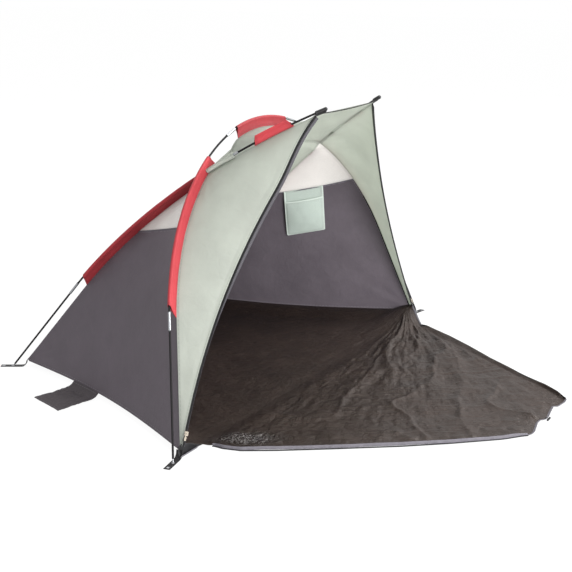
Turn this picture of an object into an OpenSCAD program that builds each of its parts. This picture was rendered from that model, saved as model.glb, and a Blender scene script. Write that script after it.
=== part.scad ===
// Beach shelter: a leaning hoop pole and two bowed roof poles carry a sewn cloth shell with an open front,
// a sewn-in floor and a front flap that lies on the ground and zips up to close the front.
// Millimetres. The origin is on the ground in the middle of the floor, +Z is up and the open front faces -Y.

/* [Frame layout] */
// Distance between the front feet of the hoop pole
front_span = 2000; // [1900:10:2100]
// Distance between the rear feet of the two roof poles
rear_span = 1206; // [1120:2:1300]
// Distance from the front sill back to the rear feet
depth = 1160; // [1080:2:1240]
// Height of the pole ends above the ground
foot_lift = 14; // [12:1:20]
// Distance between the front tips of the roof poles
tip_span = 436; // [380:2:500]
// How far the front tips stand out past the sill
tip_reach = 161; // [120:1:200]
// Height of the front tips above the ground
tip_height = 1161; // [1130:1:1200]

/* [Hoop pole] */
// Lean of the hoop towards the rear, in degrees
hoop_lean = 14.7; // [13:0.1:17]
// Inward lean of each leg in the plane of the hoop, in degrees
leg_lean = 18.6; // [18:0.1:19.4]
// Turn of each shoulder bend, in degrees
shoulder_turn = 54.9; // [54:0.1:56]
// Distance along the hoop from its foot to where a roof pole passes under it
hoop_cross = 1137; // [1080:1:1180]

/* [Roof poles] */
// Length of the straight rear section of each roof pole
rear_leg = 526; // [480:2:560]
// Distance between pole centres where a roof pole passes under the hoop
cross_gap = 26; // [20:1:34]

/* [Pole tube] */
// Outside diameter of the pole tube
tube_d = 8; // [7:0.1:9]
// Bore of the pole tube
tube_bore = 4.8; // [4.4:0.1:5.4]
// Length of one bent pole section
section_len = 450; // [440:1:460]
// Outside diameter of a ferrule
ferrule_d = 10.6; // [10.4:0.1:11]
// Length of a ferrule
ferrule_len = 66; // [50:1:70]
// Diameter of the shock cord
cord_d = 3.2; // [3:0.1:3.6]
// Diameter of a foot pin
pin_d = 4.4; // [3.8:0.1:4.4]
// Length of a foot pin inside the pole
pin_in = 35; // [20:1:45]
// Length of a foot pin below the pole
pin_out = 12; // [8:1:12]

/* [Sleeves] */
// Distance from a pole's centre to the seam of the cloth beside it
seam_set = 38; // [30:1:46]
// Bore of a pole sleeve
sleeve_bore = 12.4; // [12.2:0.1:13]
// Start of the lower hoop sleeve, along the hoop from its foot
hoop_sleeve_from = 536; // [525:1:600]
// End of the lower hoop sleeve, along the hoop from its foot
hoop_sleeve_to = 1188; // [1182:1:1260]
// Length of the sleeve over the top of the hoop
top_sleeve_len = 376; // [300:2:380]
// Start of the rear roof sleeve, along the roof pole from its foot
rear_sleeve_from = 600; // [585:1:700]
// Free length of roof pole between the rear sleeve and the hoop
rear_sleeve_gap = 34; // [28:1:60]
// Start of the front roof sleeve, back from the tip
front_sleeve_from = 304; // [290:1:320]
// Length of the front roof sleeve
front_sleeve_len = 148; // [100:1:190]
// Length of a webbing pocket at a front tip
tip_pocket_len = 42; // [34:1:60]

/* [Cloth shell] */
// Thickness of the cloth
cloth_t = 0.8; // [0.6:0.1:1.2]
// Sag of the ridge between the lower and the top hoop sleeves
ridge_sag = 30; // [10:1:45]
// Bow of each front edge towards the hoop
edge_bow = 77; // [55:1:95]
// Inward bow of each side of the floor
side_bow = 55; // [40:1:80]
// Rise of the floor's side edge at its middle
side_lift = 26; // [20:1:60]
// Rise of the floor's edge at its corners
corner_lift = 30; // [24:1:36]
// Height of the mesh windows' lower edge, as a share of the wall's height
mesh_from = 0.7; // [0.62:0.01:0.8]
// Distance along a pole from its foot to the cloth's corner
corner_set = 40; // [34:1:60]

/* [Front flap] */
// Half width of the flap at the sill
flap_half = 925; // [880:5:935]
// Length of the flap as it lies
flap_len = 1000; // [900:5:1040]
// Width of the flap at its end
flap_end = 290; // [240:5:340]
// Sideways lie of the flap's end
flap_skew = 65; // [40:1:90]
// Height of the flap's folds
fold_height = 26; // [12:1:40]
// Count of folds in the flap
fold_count = 5; // [3:1:7]

/* [Zips] */
// Width of a zip tape
tape_w = 17; // [14:1:22]
// Length of a zip slider
slider_len = 15; // [12:1:18]
// Length of a zip pull
pull_len = 26; // [20:1:32]

/* [Corners and trim] */
// Width of a webbing strap
strap_w = 26; // [24:1:34]
// Length of a strap outside the foot
strap_out = 52; // [48:1:70]
// Bore of a peg eyelet
eyelet_bore = 10; // [8:0.2:11]
// Length of a side flap along the wall
side_flap_len = 185; // [140:5:220]
// Width of a side flap across the ground
side_flap_w = 190; // [120:5:220]
// Width of the inner pocket
pocket_w = 178; // [150:2:200]
// Height of the inner pocket
pocket_h = 235; // [200:5:260]
// Room between the pocket's two layers
pocket_room = 16; // [14:1:22]
// Lean of the inner pocket along the wall
pocket_lean = 22; // [10:1:23]

/* [Hidden] */
$fn = 64;

pole_grey = "#2b2a2c";
steel = "#b9babd";
sleeve_red = "#bb4549";
wall_grey = "#5f5960";
panel_green = "#c6cdc2";
mesh_white = "#dcdad5";
floor_black = "#2c2827";
webbing_black = "#1d1c1e";
binding_grey = "#706d73";

sill_y = -depth / 2;
section_gap = 0.2;
ferrule_clear = 0.65;
sleeve_wall = 1;
run_gap = 0.5;
sew_gap = 0.3;
seam_trim = 0.7;
mesh_trim = 1.3;

function unit(v) = v / norm(v);
function mix(a, b, t) = a + (b - a) * t;
function ease(t) = let (c = max(0, min(1, t))) c * c * (3 - 2 * c);
function flip(p) = [-p.x, p.y, p.z];
function degrees(arc, r) = arc / r * 180 / PI;

// A track is a flat path: a list of [length, radius], radius 0 for a straight, each bend turning right.
// A track point is [x, y, heading].
function track_step(p, len, r) =
    r == 0
        ? [p.x + len * cos(p.z), p.y + len * sin(p.z), p.z]
        : let (turned = p.z - degrees(len, r))
          [p.x + r * (sin(p.z) - sin(turned)), p.y - r * (cos(p.z) - cos(turned)), turned];
function track_point(track, start, s, i = 0) =
    i == len(track) - 1 || s <= track[i][0]
        ? track_step(start, s, track[i][1])
        : track_point(track, track_step(start, track[i][0], track[i][1]), s - track[i][0], i + 1);
function track_start(track, i) = i == 0 ? 0 : track_start(track, i - 1) + track[i - 1][0];
function track_length(track) = track_start(track, len(track));
function inset_point(p, inset) = [p.x + inset * sin(p.z), p.y - inset * cos(p.z)];

// The hoop, in a plane that leans back about the line through its feet: a straight leg section, two sections
// in the shoulder bend and one in the top bend. The leg takes up the width that the bends leave.
leg_heading = 90 - leg_lean;
top_heading = leg_heading - shoulder_turn;
hoop_start = [-front_span / 2, 0, leg_heading];
shoulder_len = 2 * section_len;
shoulder_r = shoulder_len / (shoulder_turn * PI / 180);
top_r = section_len / 2 / (top_heading * PI / 180);
bend_reach = shoulder_r * (sin(leg_heading) - sin(top_heading)) + top_r * sin(top_heading);
leg_len = (front_span / 2 - bend_reach) / sin(leg_lean);
hoop_track = [
    [leg_len, 0],
    [shoulder_len, shoulder_r],
    [section_len, top_r],
    [shoulder_len, shoulder_r],
    [leg_len, 0]
];
hoop_len = track_length(hoop_track);
function hoop_place(q) = [q.x, sill_y + q.y * sin(hoop_lean), foot_lift + q.y * cos(hoop_lean)];
function hoop_at(s, inset = 0) = hoop_place(inset_point(track_point(hoop_track, hoop_start, s), inset));

// The left roof pole, in the plane of its foot, its tip and the point where it passes under the hoop
rear_foot = [-rear_span / 2, sill_y + depth, foot_lift];
front_tip = [-tip_span / 2, sill_y - tip_reach, tip_height];
roof_cross = hoop_at(hoop_cross, cross_gap);
roof_chord = norm(front_tip - rear_foot);
roof_x = unit(front_tip - rear_foot);
roof_rise = (roof_cross - rear_foot) - ((roof_cross - rear_foot) * roof_x) * roof_x;
roof_y = unit(roof_rise);
roof_z = cross(roof_x, roof_y);
cross_x = (roof_cross - rear_foot) * roof_x;
cross_y = norm(roof_rise);
// A leg at an angle to the chord and the arc that runs on from it to the tip
function roof_arc_turn(a) = 2 * (a + atan2(rear_leg * sin(a), roof_chord - rear_leg * cos(a)));
function roof_arc_r(a) =
    norm([roof_chord - rear_leg * cos(a), rear_leg * sin(a)]) / (2 * sin(roof_arc_turn(a) / 2));
function roof_height(a, x) =
    let (r = roof_arc_r(a), dx = x - rear_leg * cos(a) - r * sin(a))
    rear_leg * sin(a) - r * cos(a) + sqrt(r * r - dx * dx);
function roof_angle(low, high, steps) =
    let (mid = (low + high) / 2)
    steps == 0 ? mid
        : roof_height(mid, cross_x) < cross_y ? roof_angle(mid, high, steps - 1)
        : roof_angle(low, mid, steps - 1);
roof_slope = roof_angle(1, 30, 40);
roof_r = roof_arc_r(roof_slope);
roof_track = [[rear_leg, 0], [roof_r * roof_arc_turn(roof_slope) * PI / 180, roof_r]];
roof_start = [0, 0, roof_slope];
roof_len = track_length(roof_track);
cross_heading = asin((rear_leg * cos(roof_slope) + roof_r * sin(roof_slope) - cross_x) / roof_r);
roof_cross_s = rear_leg + roof_r * (roof_slope - cross_heading) * PI / 180;
function roof_place(q) = rear_foot + q.x * roof_x + q.y * roof_y;
function roof_at(s, inset = 0) = roof_place(inset_point(track_point(roof_track, roof_start, s), inset));

// Seams: cloth meets at a set distance inside the poles. At the crossing the roof pole's seam rises to the
// hoop's, past the end of the rear sleeve and over a longer way in front.
function hoop_seam(s, sag = 0) = hoop_at(s, seam_set + sag);
seam_cross = hoop_seam(hoop_cross);
cross_ease = 200;
function roof_seam(s) =
    let (reach = s < roof_cross_s ? rear_sleeve_gap : cross_ease)
    roof_at(s, seam_set)
    + (seam_cross - roof_at(roof_cross_s, seam_set)) * ease(1 - abs(s - roof_cross_s) / reach);
top_from = (hoop_len - top_sleeve_len) / 2;
top_to = (hoop_len + top_sleeve_len) / 2;
function ridge_dip(s) =
    let (t = (min(s, hoop_len - s) - hoop_cross) / (top_from - hoop_cross))
    t > 0 && t < 1 ? ridge_sag * pow(sin(180 * t), 2) : 0;
function ridge_seam(t) =
    let (s = mix(hoop_cross, hoop_len - hoop_cross, t)) hoop_seam(s, ridge_dip(s));
tip_seam_s = roof_len - tip_pocket_len / 2;

// The left front edge: an arc from the foot to the tip, bowed towards the hoop
edge_foot = [-front_span / 2 + 50, sill_y - 8, 44];
edge_tip = roof_seam(tip_seam_s);
edge_chord = norm(edge_tip - edge_foot);
edge_y = unit(edge_tip - edge_foot);
edge_pull = hoop_seam(hoop_cross / 2) - (edge_foot + edge_tip) / 2;
edge_x = unit(edge_pull - (edge_pull * edge_y) * edge_y);
edge_z = cross(edge_x, edge_y);
edge_r = edge_chord * edge_chord / (8 * edge_bow) + edge_bow / 2;
edge_half = asin(edge_chord / (2 * edge_r));
edge_centre = (edge_foot + edge_tip) / 2 - (edge_r - edge_bow) * edge_x;
function edge_at(t, out = 0) =
    let (a = mix(-edge_half, edge_half, t), r = edge_r + out)
    edge_centre + r * cos(a) * edge_x + r * sin(a) * edge_y;
tape_coil = 5;
tape_stop = 16;
tape_t = 1.6;
panel_edge = tape_w - tape_coil + sew_gap;

// The floor's side hem on the left, from the front corner to the rear corner
hem_front = hoop_seam(corner_set);
hem_rear = roof_seam(corner_set);
function hem(t) =
    let (flat = mix([hem_front.x, hem_front.y], [hem_rear.x, hem_rear.y], t), in = side_bow * sin(180 * t))
    [flat.x + in, flat.y, corner_lift + (side_lift - corner_lift) * sin(180 * t)];

// A sheet over four border curves: c0 and c1 run up the sides, d0 and d1 run across the bottom and top
function patch(c0, c1, d0, d1, u, v) =
    mix(c0(v), c1(v), u) + mix(d0(u), d1(u), v) - mix(mix(c0(0), c1(0), u), mix(c0(1), c1(1), u), v);
function patch_grid(c0, c1, d0, d1, us, v_from, v_to, v_steps) =
    [for (u = us) [for (k = [0:v_steps]) patch(c0, c1, d0, d1, u, mix(v_from, v_to, k / v_steps))]];
function steps(n) = [for (k = [0:n]) k / n];

// A panel stops a little short of its seams, so that panels that are sewn together lie edge to edge
function pull(a, b, trim) = a + unit(b - a) * trim;
function trim_ends(g, trim) =
    let (last = len(g) - 1)
    [for (i = [0:last]) [for (j = [0:len(g[0]) - 1])
        i == 0 ? pull(g[0][j], g[1][j], trim) : i == last ? pull(g[last][j], g[last - 1][j], trim) : g[i][j]]];
function turned(g) = [for (j = [0:len(g[0]) - 1]) [for (i = [0:len(g) - 1]) g[i][j]]];
function trimmed(g, trim = seam_trim) = turned(trim_ends(turned(trim_ends(g, trim)), trim));
module panel(g, trim = seam_trim) {
    sheet(trimmed(g, trim));
}

// A closed sheet of a set thickness over a grid of points
function grid_normal(g, i, j) =
    let (a = g[min(i + 1, len(g) - 1)][j] - g[max(i - 1, 0)][j],
         b = g[i][min(j + 1, len(g[0]) - 1)] - g[i][max(j - 1, 0)])
    unit(cross(a, b));
function strip_faces(a, b, n) = [[a, b, b + n], [a, b + n, a + n]];
module sheet(g, t = cloth_t) {
    rows = len(g);
    cols = len(g[0]);
    n = rows * cols;
    front = [for (i = [0:rows - 1]) for (j = [0:cols - 1]) g[i][j] + grid_normal(g, i, j) * t / 2];
    back = [for (i = [0:rows - 1]) for (j = [0:cols - 1]) g[i][j] - grid_normal(g, i, j) * t / 2];
    cells = [for (i = [0:rows - 2]) for (j = [0:cols - 2]) i * cols + j];
    front_faces = [for (c = cells) each [[c, c + 1, c + cols + 1], [c, c + cols + 1, c + cols]]];
    back_faces = [for (f = front_faces) [f[0] + n, f[2] + n, f[1] + n]];
    long_rims = [
        for (i = [0:rows - 2])
            each concat(strip_faces(i * cols, (i + 1) * cols, n),
                        strip_faces((i + 2) * cols - 1, (i + 1) * cols - 1, n))
    ];
    short_rims = [
        for (j = [0:cols - 2])
            each concat(strip_faces(j + 1, j, n),
                        strip_faces((rows - 1) * cols + j, (rows - 1) * cols + j + 1, n))
    ];
    polyhedron(concat(front, back), concat(front_faces, back_faces, long_rims, short_rims));
}

// A flat profile carried along a track from s0 to s1; the profile's x axis points to the inside of the bends
module along(track, start, s0, s1) {
    last = len(track) - 1;
    for (i = [0:last]) {
        from = i == 0 ? s0 : max(s0, track_start(track, i));
        to = i == last ? s1 : min(s1, track_start(track, i + 1));
        r = track[i][1];
        p = track_point(track, start, from);
        if (to - from > 0.01) {
            translate([p.x, p.y, 0]) rotate([0, 0, p.z])
                if (r == 0)
                    multmatrix([[0, 0, 1, 0], [-1, 0, 0, 0], [0, -1, 0, 0], [0, 0, 0, 1]])
                        linear_extrude(to - from) children();
                else
                    translate([0, -r, 0]) rotate([0, 0, 90 - degrees(to - from, r)])
                        rotate_extrude(angle = degrees(to - from, r), $fn = 180)
                            translate([r, 0]) mirror([1, 0]) children();
        }
    }
}
module in_hoop_plane() {
    translate([0, sill_y, foot_lift]) rotate([90 - hoop_lean, 0, 0]) children();
}
module in_roof_plane() {
    multmatrix([
        [roof_x.x, roof_y.x, roof_z.x, rear_foot.x],
        [roof_x.y, roof_y.y, roof_z.y, rear_foot.y],
        [roof_x.z, roof_y.z, roof_z.z, rear_foot.z],
        [0, 0, 0, 1]
    ])
        children();
}
module on_hoop(s0, s1) {
    in_hoop_plane() along(hoop_track, hoop_start, s0, s1) children();
}
module on_roof(s0, s1) {
    in_roof_plane() along(roof_track, roof_start, s0, s1) children();
}
// A straight piece on the line that touches a pole at s
straight_line = [[1, 0]];
module by_hoop(s, from, to) {
    in_hoop_plane() along(straight_line, track_point(hoop_track, hoop_start, s), from, to) children();
}
module by_roof(s, from, to) {
    in_roof_plane() along(straight_line, track_point(roof_track, roof_start, s), from, to) children();
}
module on_edge(at) {
    multmatrix([
        [edge_x.x, edge_y.x, edge_z.x, edge_centre.x],
        [edge_x.y, edge_y.y, edge_z.y, edge_centre.y],
        [edge_x.z, edge_y.z, edge_z.z, edge_centre.z],
        [0, 0, 0, 1]
    ])
        rotate([0, 0, -edge_half + degrees(at, edge_r)]) children();
}
module right_side() {
    mirror([1, 0, 0]) children();
}

// Profiles that are carried along the poles
module ring_profile(outer_d, inner_d) {
    difference() {
        circle(d = outer_d);
        circle(d = inner_d);
    }
}
// A sleeve's band ends just short of the panels that it is sewn to
band_end = seam_set - cloth_t / 2 - sew_gap;
module sleeve_profile() {
    difference() {
        union() {
            circle(d = sleeve_bore + 2 * sleeve_wall);
            translate([0, -sleeve_wall / 2]) square([band_end, sleeve_wall]);
        }
        circle(d = sleeve_bore);
    }
}

// Places of the ferrules along each pole
hoop_joints = [for (k = [0:5]) leg_len + k * section_len];
roof_joints = [for (k = [0:2]) rear_leg + k * section_len];
hoop_stops = concat([0], hoop_joints, [hoop_len]);
roof_stops = concat([0], roof_joints, [roof_len]);

module hoop_section(k) {
    color(pole_grey)
        on_hoop(hoop_stops[k - 1] + section_gap / 2, hoop_stops[k] - section_gap / 2)
            ring_profile(tube_d, tube_bore);
}
module left_roof_section(k) {
    color(pole_grey)
        on_roof(roof_stops[k - 1] + section_gap / 2, roof_stops[k] - section_gap / 2)
            ring_profile(tube_d, tube_bore);
}
module right_roof_section(k) {
    right_side() left_roof_section(k);
}
module hoop_ferrules() {
    color(steel)
        for (s = hoop_joints)
            by_hoop(s, -ferrule_len / 2, ferrule_len / 2) ring_profile(ferrule_d, tube_d + 2 * ferrule_clear);
}
module left_roof_ferrules() {
    color(steel)
        for (s = roof_joints)
            by_roof(s, -ferrule_len / 2, ferrule_len / 2) ring_profile(ferrule_d, tube_d + 2 * ferrule_clear);
}
module right_roof_ferrules() {
    right_side() left_roof_ferrules();
}

// The shock cord is one tube down the middle of its pole
cord_end = pin_in + 3;
cord_sides = 8;
function cord_ring(place, side, s) =
    [for (k = [0:cord_sides - 1])
        let (a = 360 * k / cord_sides) place(s, cord_d / 2 * cos(a)) + side * cord_d / 2 * sin(a)];
module cord(rings) {
    n = cord_sides;
    last = len(rings) - 1;
    loops = [for (i = [0:last - 1]) for (k = [0:n - 1])
        each strip_faces(i * n + k, i * n + (k + 1) % n, n)];
    caps = [[for (k = [n - 1:-1:0]) k], [for (k = [0:n - 1]) last * n + k]];
    polyhedron([for (r = rings) each r], concat(loops, caps));
}
module hoop_shock_cord() {
    side = [0, -cos(hoop_lean), sin(hoop_lean)];
    color("white")
        cord([for (k = [0:60])
            cord_ring(function(s, d) hoop_at(s, d), side, mix(cord_end, hoop_len - cord_end, k / 60))]);
}
module left_roof_shock_cord() {
    color("white")
        cord([for (k = [0:26])
            cord_ring(function(s, d) roof_at(s, d), roof_z, mix(cord_end, roof_len, k / 26))]);
}
module right_roof_shock_cord() {
    right_side() left_roof_shock_cord();
}

module left_pins() {
    by_hoop(0, -pin_out, pin_in) circle(d = pin_d);
    by_roof(0, -pin_out, pin_in) circle(d = pin_d);
}
module foot_pins() {
    color(steel) {
        left_pins();
        right_side() left_pins();
    }
}

// Sleeves: a tube of cloth round the pole with a flat band down to the seam
module left_hoop_sleeve() {
    pass_d = tube_d + 6;
    pass_half = 60;
    color(sleeve_red)
        difference() {
            on_hoop(hoop_sleeve_from, hoop_sleeve_to) sleeve_profile();
            on_roof(roof_cross_s - pass_half, roof_cross_s + pass_half) circle(d = pass_d);
        }
}
module right_hoop_sleeve() {
    right_side() left_hoop_sleeve();
}
module top_hoop_sleeve() {
    color(sleeve_red) on_hoop(top_from, top_to) sleeve_profile();
}
module left_rear_sleeve() {
    color(sleeve_red) on_roof(rear_sleeve_from, roof_cross_s - rear_sleeve_gap) sleeve_profile();
}
module right_rear_sleeve() {
    right_side() left_rear_sleeve();
}
module left_front_sleeve() {
    from = roof_len - front_sleeve_from;
    color(sleeve_red) on_roof(from, from + front_sleeve_len) sleeve_profile();
}
module right_front_sleeve() {
    right_side() left_front_sleeve();
}
module tip_pocket() {
    pocket_d = tube_d + 7;
    difference() {
        on_roof(roof_len - tip_pocket_len, roof_len + 5) {
            circle(d = pocket_d);
            translate([0, -1]) square([band_end, 2]);
        }
        on_roof(roof_len - tip_pocket_len - 1, roof_len + section_gap) circle(d = tube_d + 2 * sew_gap);
    }
}
module tip_pockets() {
    color(webbing_black) {
        tip_pocket();
        right_side() tip_pocket();
    }
}

// Cloth panels between the seams
wall_top = 0.975;
function wall_grid(v_from, v_to, v_steps) =
    patch_grid(
        function(v) mix(roof_seam(mix(corner_set, roof_cross_s, v * wall_top)),
                        [hem_rear.x, hem_rear.y, corner_lift], ease(1 - v * 12)),
        function(v) mix(hoop_seam(mix(corner_set, hoop_cross, v * wall_top)),
                        [hem_front.x, hem_front.y, corner_lift], ease(1 - v * 12)),
        function(u) hem(1 - u),
        function(u) mix(roof_seam(mix(corner_set, roof_cross_s, wall_top)),
                        hoop_seam(mix(corner_set, hoop_cross, wall_top)), u),
        steps(10), v_from, v_to, v_steps);
module left_wall() {
    color(wall_grey) panel(wall_grid(0, mesh_from, 10));
}
module right_wall() {
    right_side() left_wall();
}
module left_mesh_window() {
    color(mesh_white) panel(wall_grid(mesh_from, 1, 8), mesh_trim);
}
module right_mesh_window() {
    right_side() left_mesh_window();
}
module left_front_panel() {
    color(panel_green)
        panel(patch_grid(
            function(v) hoop_seam(mix(corner_set, hoop_cross, v)),
            function(v) edge_at(v, panel_edge),
            function(u) mix(hoop_seam(corner_set), edge_at(0, panel_edge), u),
            function(u) mix(roof_seam(mix(roof_cross_s, tip_seam_s, u)), edge_at(1, panel_edge), ease(u * 8 - 7)),
            steps(10), 0, 1, 14));
}
module right_front_panel() {
    right_side() left_front_panel();
}
module roof_panel() {
    color(panel_green)
        panel(patch_grid(
            function(v) roof_seam(mix(roof_cross_s, tip_seam_s, v)),
            function(v) flip(roof_seam(mix(roof_cross_s, tip_seam_s, v))),
            function(u) ridge_seam(u),
            function(u) mix(roof_seam(tip_seam_s), flip(roof_seam(tip_seam_s)), u),
            steps(20), 0, 1, 10));
}
// The back's run up the roof pole: the upper panel's last quarter is the free length past the rear sleeve
function back_run(v) =
    let (share = mix(mesh_from, 1, 0.75), sleeve_end = roof_cross_s - rear_sleeve_gap)
    v < share ? mix(corner_set, sleeve_end, v / share) : mix(sleeve_end, roof_cross_s, (v - share) / (1 - share));
function back_side(v) =
    mix(roof_seam(back_run(v)), [hem_rear.x, hem_rear.y, corner_lift], ease(1 - v * 12));
function back_grid(v_from, v_to, v_steps) =
    patch_grid(
        function(v) back_side(v),
        function(v) flip(back_side(v)),
        function(u) mix(hem(1), flip(hem(1)), u),
        function(u) ridge_seam(u),
        steps(20), v_from, v_to, v_steps);
module back_wall() {
    color(wall_grey) panel(back_grid(0, mesh_from, 8));
}
module back_panel() {
    color(panel_green) panel(back_grid(mesh_from, 1, 4));
}

// The floor is flat on the ground and turns up at its sides and rear
module groundsheet() {
    edge_share = 0.2;
    across = [-1, -0.95, -0.9, -0.85, -0.8, -0.4, 0, 0.4, 0.8, 0.85, 0.9, 0.95, 1];
    function floor_point(u, t) =
        let (side = hem(t),
             rear_rise = (corner_lift - cloth_t - sew_gap) * ease((t - 0.88) / 0.12),
             side_rise = side.z * ease((abs(u) - 1 + edge_share) / edge_share))
        [side.x * -u, mix(sill_y - seam_trim, hem_rear.y, t), cloth_t / 2 + max(rear_rise, side_rise)];
    color(floor_black) panel([for (u = across) [for (k = [0:12]) floor_point(-u, k / 12)]]);
}
module front_binding() {
    binding_d = 5;
    from = roof_seam(tip_seam_s);
    ahead = unit(from - roof_seam(tip_seam_s - binding_d));
    start = from + [binding_d / 2, ahead.y * binding_d / 2, ahead.z * binding_d / 2];
    color(webbing_black)
        translate(start) rotate([0, 90, 0]) cylinder(d = binding_d, h = -2 * start.x);
}

// Zip along each front edge, with a slider that rides on the coil
slider_from = 46;
slider_h = 7.2;
slider_slot = tape_t + 2 * run_gap;
pull_pin_d = 2;
pull_out = slider_h / 2 + 2.7;
module left_zip_tape() {
    color(webbing_black)
        on_edge(0) rotate_extrude(angle = 2 * edge_half - degrees(tape_stop, edge_r), $fn = 180)
            translate([edge_r - tape_coil, -tape_t / 2]) square([tape_w, tape_t]);
}
module right_zip_tape() {
    right_side() left_zip_tape();
}
module left_zip_slider() {
    reach_in = tape_coil + run_gap + 4;
    reach_out = 4;
    lug = 1.6;
    lug_span = 8;
    color(steel)
        on_edge(slider_from) translate([edge_r, 0, 0]) {
            difference() {
                translate([-reach_in, -slider_len / 2, -slider_h / 2])
                    cube([reach_in + reach_out, slider_len, slider_h]);
                translate([-tape_coil - run_gap, -slider_len, -slider_slot / 2])
                    cube([reach_in + reach_out, 2 * slider_len, slider_slot]);
            }
            for (x = [-lug_span / 2, lug_span / 2 - lug])
                translate([x - 2, -2, -pull_out - 2]) cube([lug, 4, 2 + pull_out - slider_h / 2]);
            translate([-lug_span / 2 - 2, 0, -pull_out]) rotate([0, 90, 0]) cylinder(d = pull_pin_d, h = lug_span);
        }
}
module right_zip_slider() {
    right_side() left_zip_slider();
}
module left_zip_pull() {
    eye_d = 4.2;
    eye_w = 4;
    tab_w = 7;
    tab_t = 1.4;
    color(steel)
        on_edge(slider_from) translate([edge_r - 2, 0, -pull_out])
            difference() {
                union() {
                    translate([-eye_w / 2, 0, 0]) rotate([0, 90, 0]) cylinder(d = eye_d, h = eye_w);
                    translate([-eye_w / 2, -pull_len / 2, -tab_t / 2]) cube([eye_w, pull_len / 2, tab_t]);
                    translate([-tab_w / 2, -pull_len, -tab_t / 2]) cube([tab_w, pull_len / 2 + 1, tab_t]);
                }
                translate([-eye_w, 0, 0]) rotate([0, 90, 0]) cylinder(d = pull_pin_d + 0.2, h = 2 * eye_w);
            }
}
module right_zip_pull() {
    right_side() left_zip_pull();
}

// The front flap lies on the ground in front of the sill, with folds that fan out from its right corner
flap_flare = 90;
flap_belly = 60;
function flap_left(t) =
    mix(-flap_half + flap_flare, flap_skew - flap_end / 2, t) - flap_flare * pow(1 - t, 12);
function flap_right(t) = mix(flap_half, flap_skew + flap_end / 2, t) + flap_belly * sin(180 * t);
function flap_fold(x, out) =
    let (fan = atan2(out, flap_half + flap_belly - x), phase = sin(fan * fold_count * 2 + 20))
    fold_height * phase * phase;
function flap_point(u, t) =
    let (x = mix(flap_left(t), flap_right(t), u),
         out = flap_len * t,
         calm = ease(t * 8) * ease(u * 8) * ease((1 - u) * 8) * ease((1 - t) * 10))
    [x, sill_y - run_gap - out, cloth_t / 2 + calm * flap_fold(x, out)];
module front_flap() {
    color(floor_black) sheet([for (u = steps(24)) [for (k = [0:16]) flap_point(u, k / 16)]]);
}
module flap_zip_tapes() {
    band = 14;
    inset = [sew_gap, band];
    color(binding_grey) {
        sheet([for (d = inset) [for (k = [1:16]) flap_point(0, k / 16) - [d, 0, 0]]]);
        sheet([for (d = [band, sew_gap]) [for (k = [1:16]) flap_point(1, k / 16) + [d, 0, 0]]]);
    }
}
module flap_toggle() {
    toggle_d = 8;
    toggle_len = 24;
    end = flap_point(0.45, 1);
    reach = sqrt(pow(toggle_d / 2 + sew_gap, 2) - pow(toggle_d / 2 - cloth_t, 2));
    color(webbing_black)
        translate([end.x, end.y - reach, toggle_d / 2])
            rotate([0, 90, 0]) {
                cylinder(d = toggle_d, h = toggle_len, center = true);
                for (z = [-1, 1])
                    translate([0, 0, z * toggle_len / 2]) sphere(d = toggle_d);
            }
}

// The inner pocket hangs from the right wall's mesh seam and leans with the wall
module inner_pocket() {
    steps_up = 10;
    seam = [for (row = trimmed(wall_grid(0, mesh_from, steps_up))) flip(row[steps_up])];
    from = mix(seam[1], seam[2], 0.5);
    aim = unit(seam[7] - from);
    turn = atan2(aim.y, aim.x);
    slope = tan(asin(aim.z));
    inward = [sin(turn), -cos(turn), 0];
    seat = max([for (k = [2:7]) (seam[k] - from) * inward]) + cloth_t / 2 + sew_gap;
    mouth = 42;
    wall = cloth_t;
    module outline(low, high, cut) {
        polygon([
            [cut, low + cut * slope], [pocket_w - cut, low + (pocket_w - cut) * slope],
            [pocket_w - cut, high + (pocket_w - cut) * slope], [cut, high + cut * slope]
        ]);
    }
    color(mesh_white)
        translate(from + inward * seat) rotate(pocket_lean, aim) rotate([0, 0, turn]) rotate([90, 0, 0]) {
            linear_extrude(wall) outline(-pocket_h, 0, 0);
            difference() {
                linear_extrude(pocket_room + 2 * wall) outline(-pocket_h, -mouth, 0);
                translate([0, 0, wall]) linear_extrude(pocket_room) outline(wall - pocket_h, 0, wall);
            }
        }
}

// Corner straps: webbing that lies under the pole's foot and turns up to the cloth's corner
strap_t = 2;
grommet_d = 15;
grommet_bore = 9.2;
eyelet_d = eyelet_bore + 6;
eyelet_h = 2.6;
fit_gap = 0.05;
module at_corner(foot, corner) {
    aim = corner - foot;
    translate([foot.x, foot.y, 0]) rotate([0, 0, atan2(aim.y, aim.x)]) children();
}
eyelet_at = -strap_out + eyelet_d / 2 + 4;
module strap(reach, rise) {
    bend = reach - rise * 0.5;
    difference() {
        rotate([90, 0, 0])
            linear_extrude(strap_w, center = true)
                polygon([[-strap_out, 0], [bend, 0], [reach, rise], [reach - strap_t, rise],
                         [bend - strap_t, strap_t], [-strap_out, strap_t]]);
        translate([eyelet_at, 0, -1]) cylinder(d = eyelet_d + 2 * fit_gap, h = 2 * strap_t);
        translate([0, 0, -1]) cylinder(d = grommet_d + 2 * fit_gap, h = 2 * strap_t);
    }
}
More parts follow.
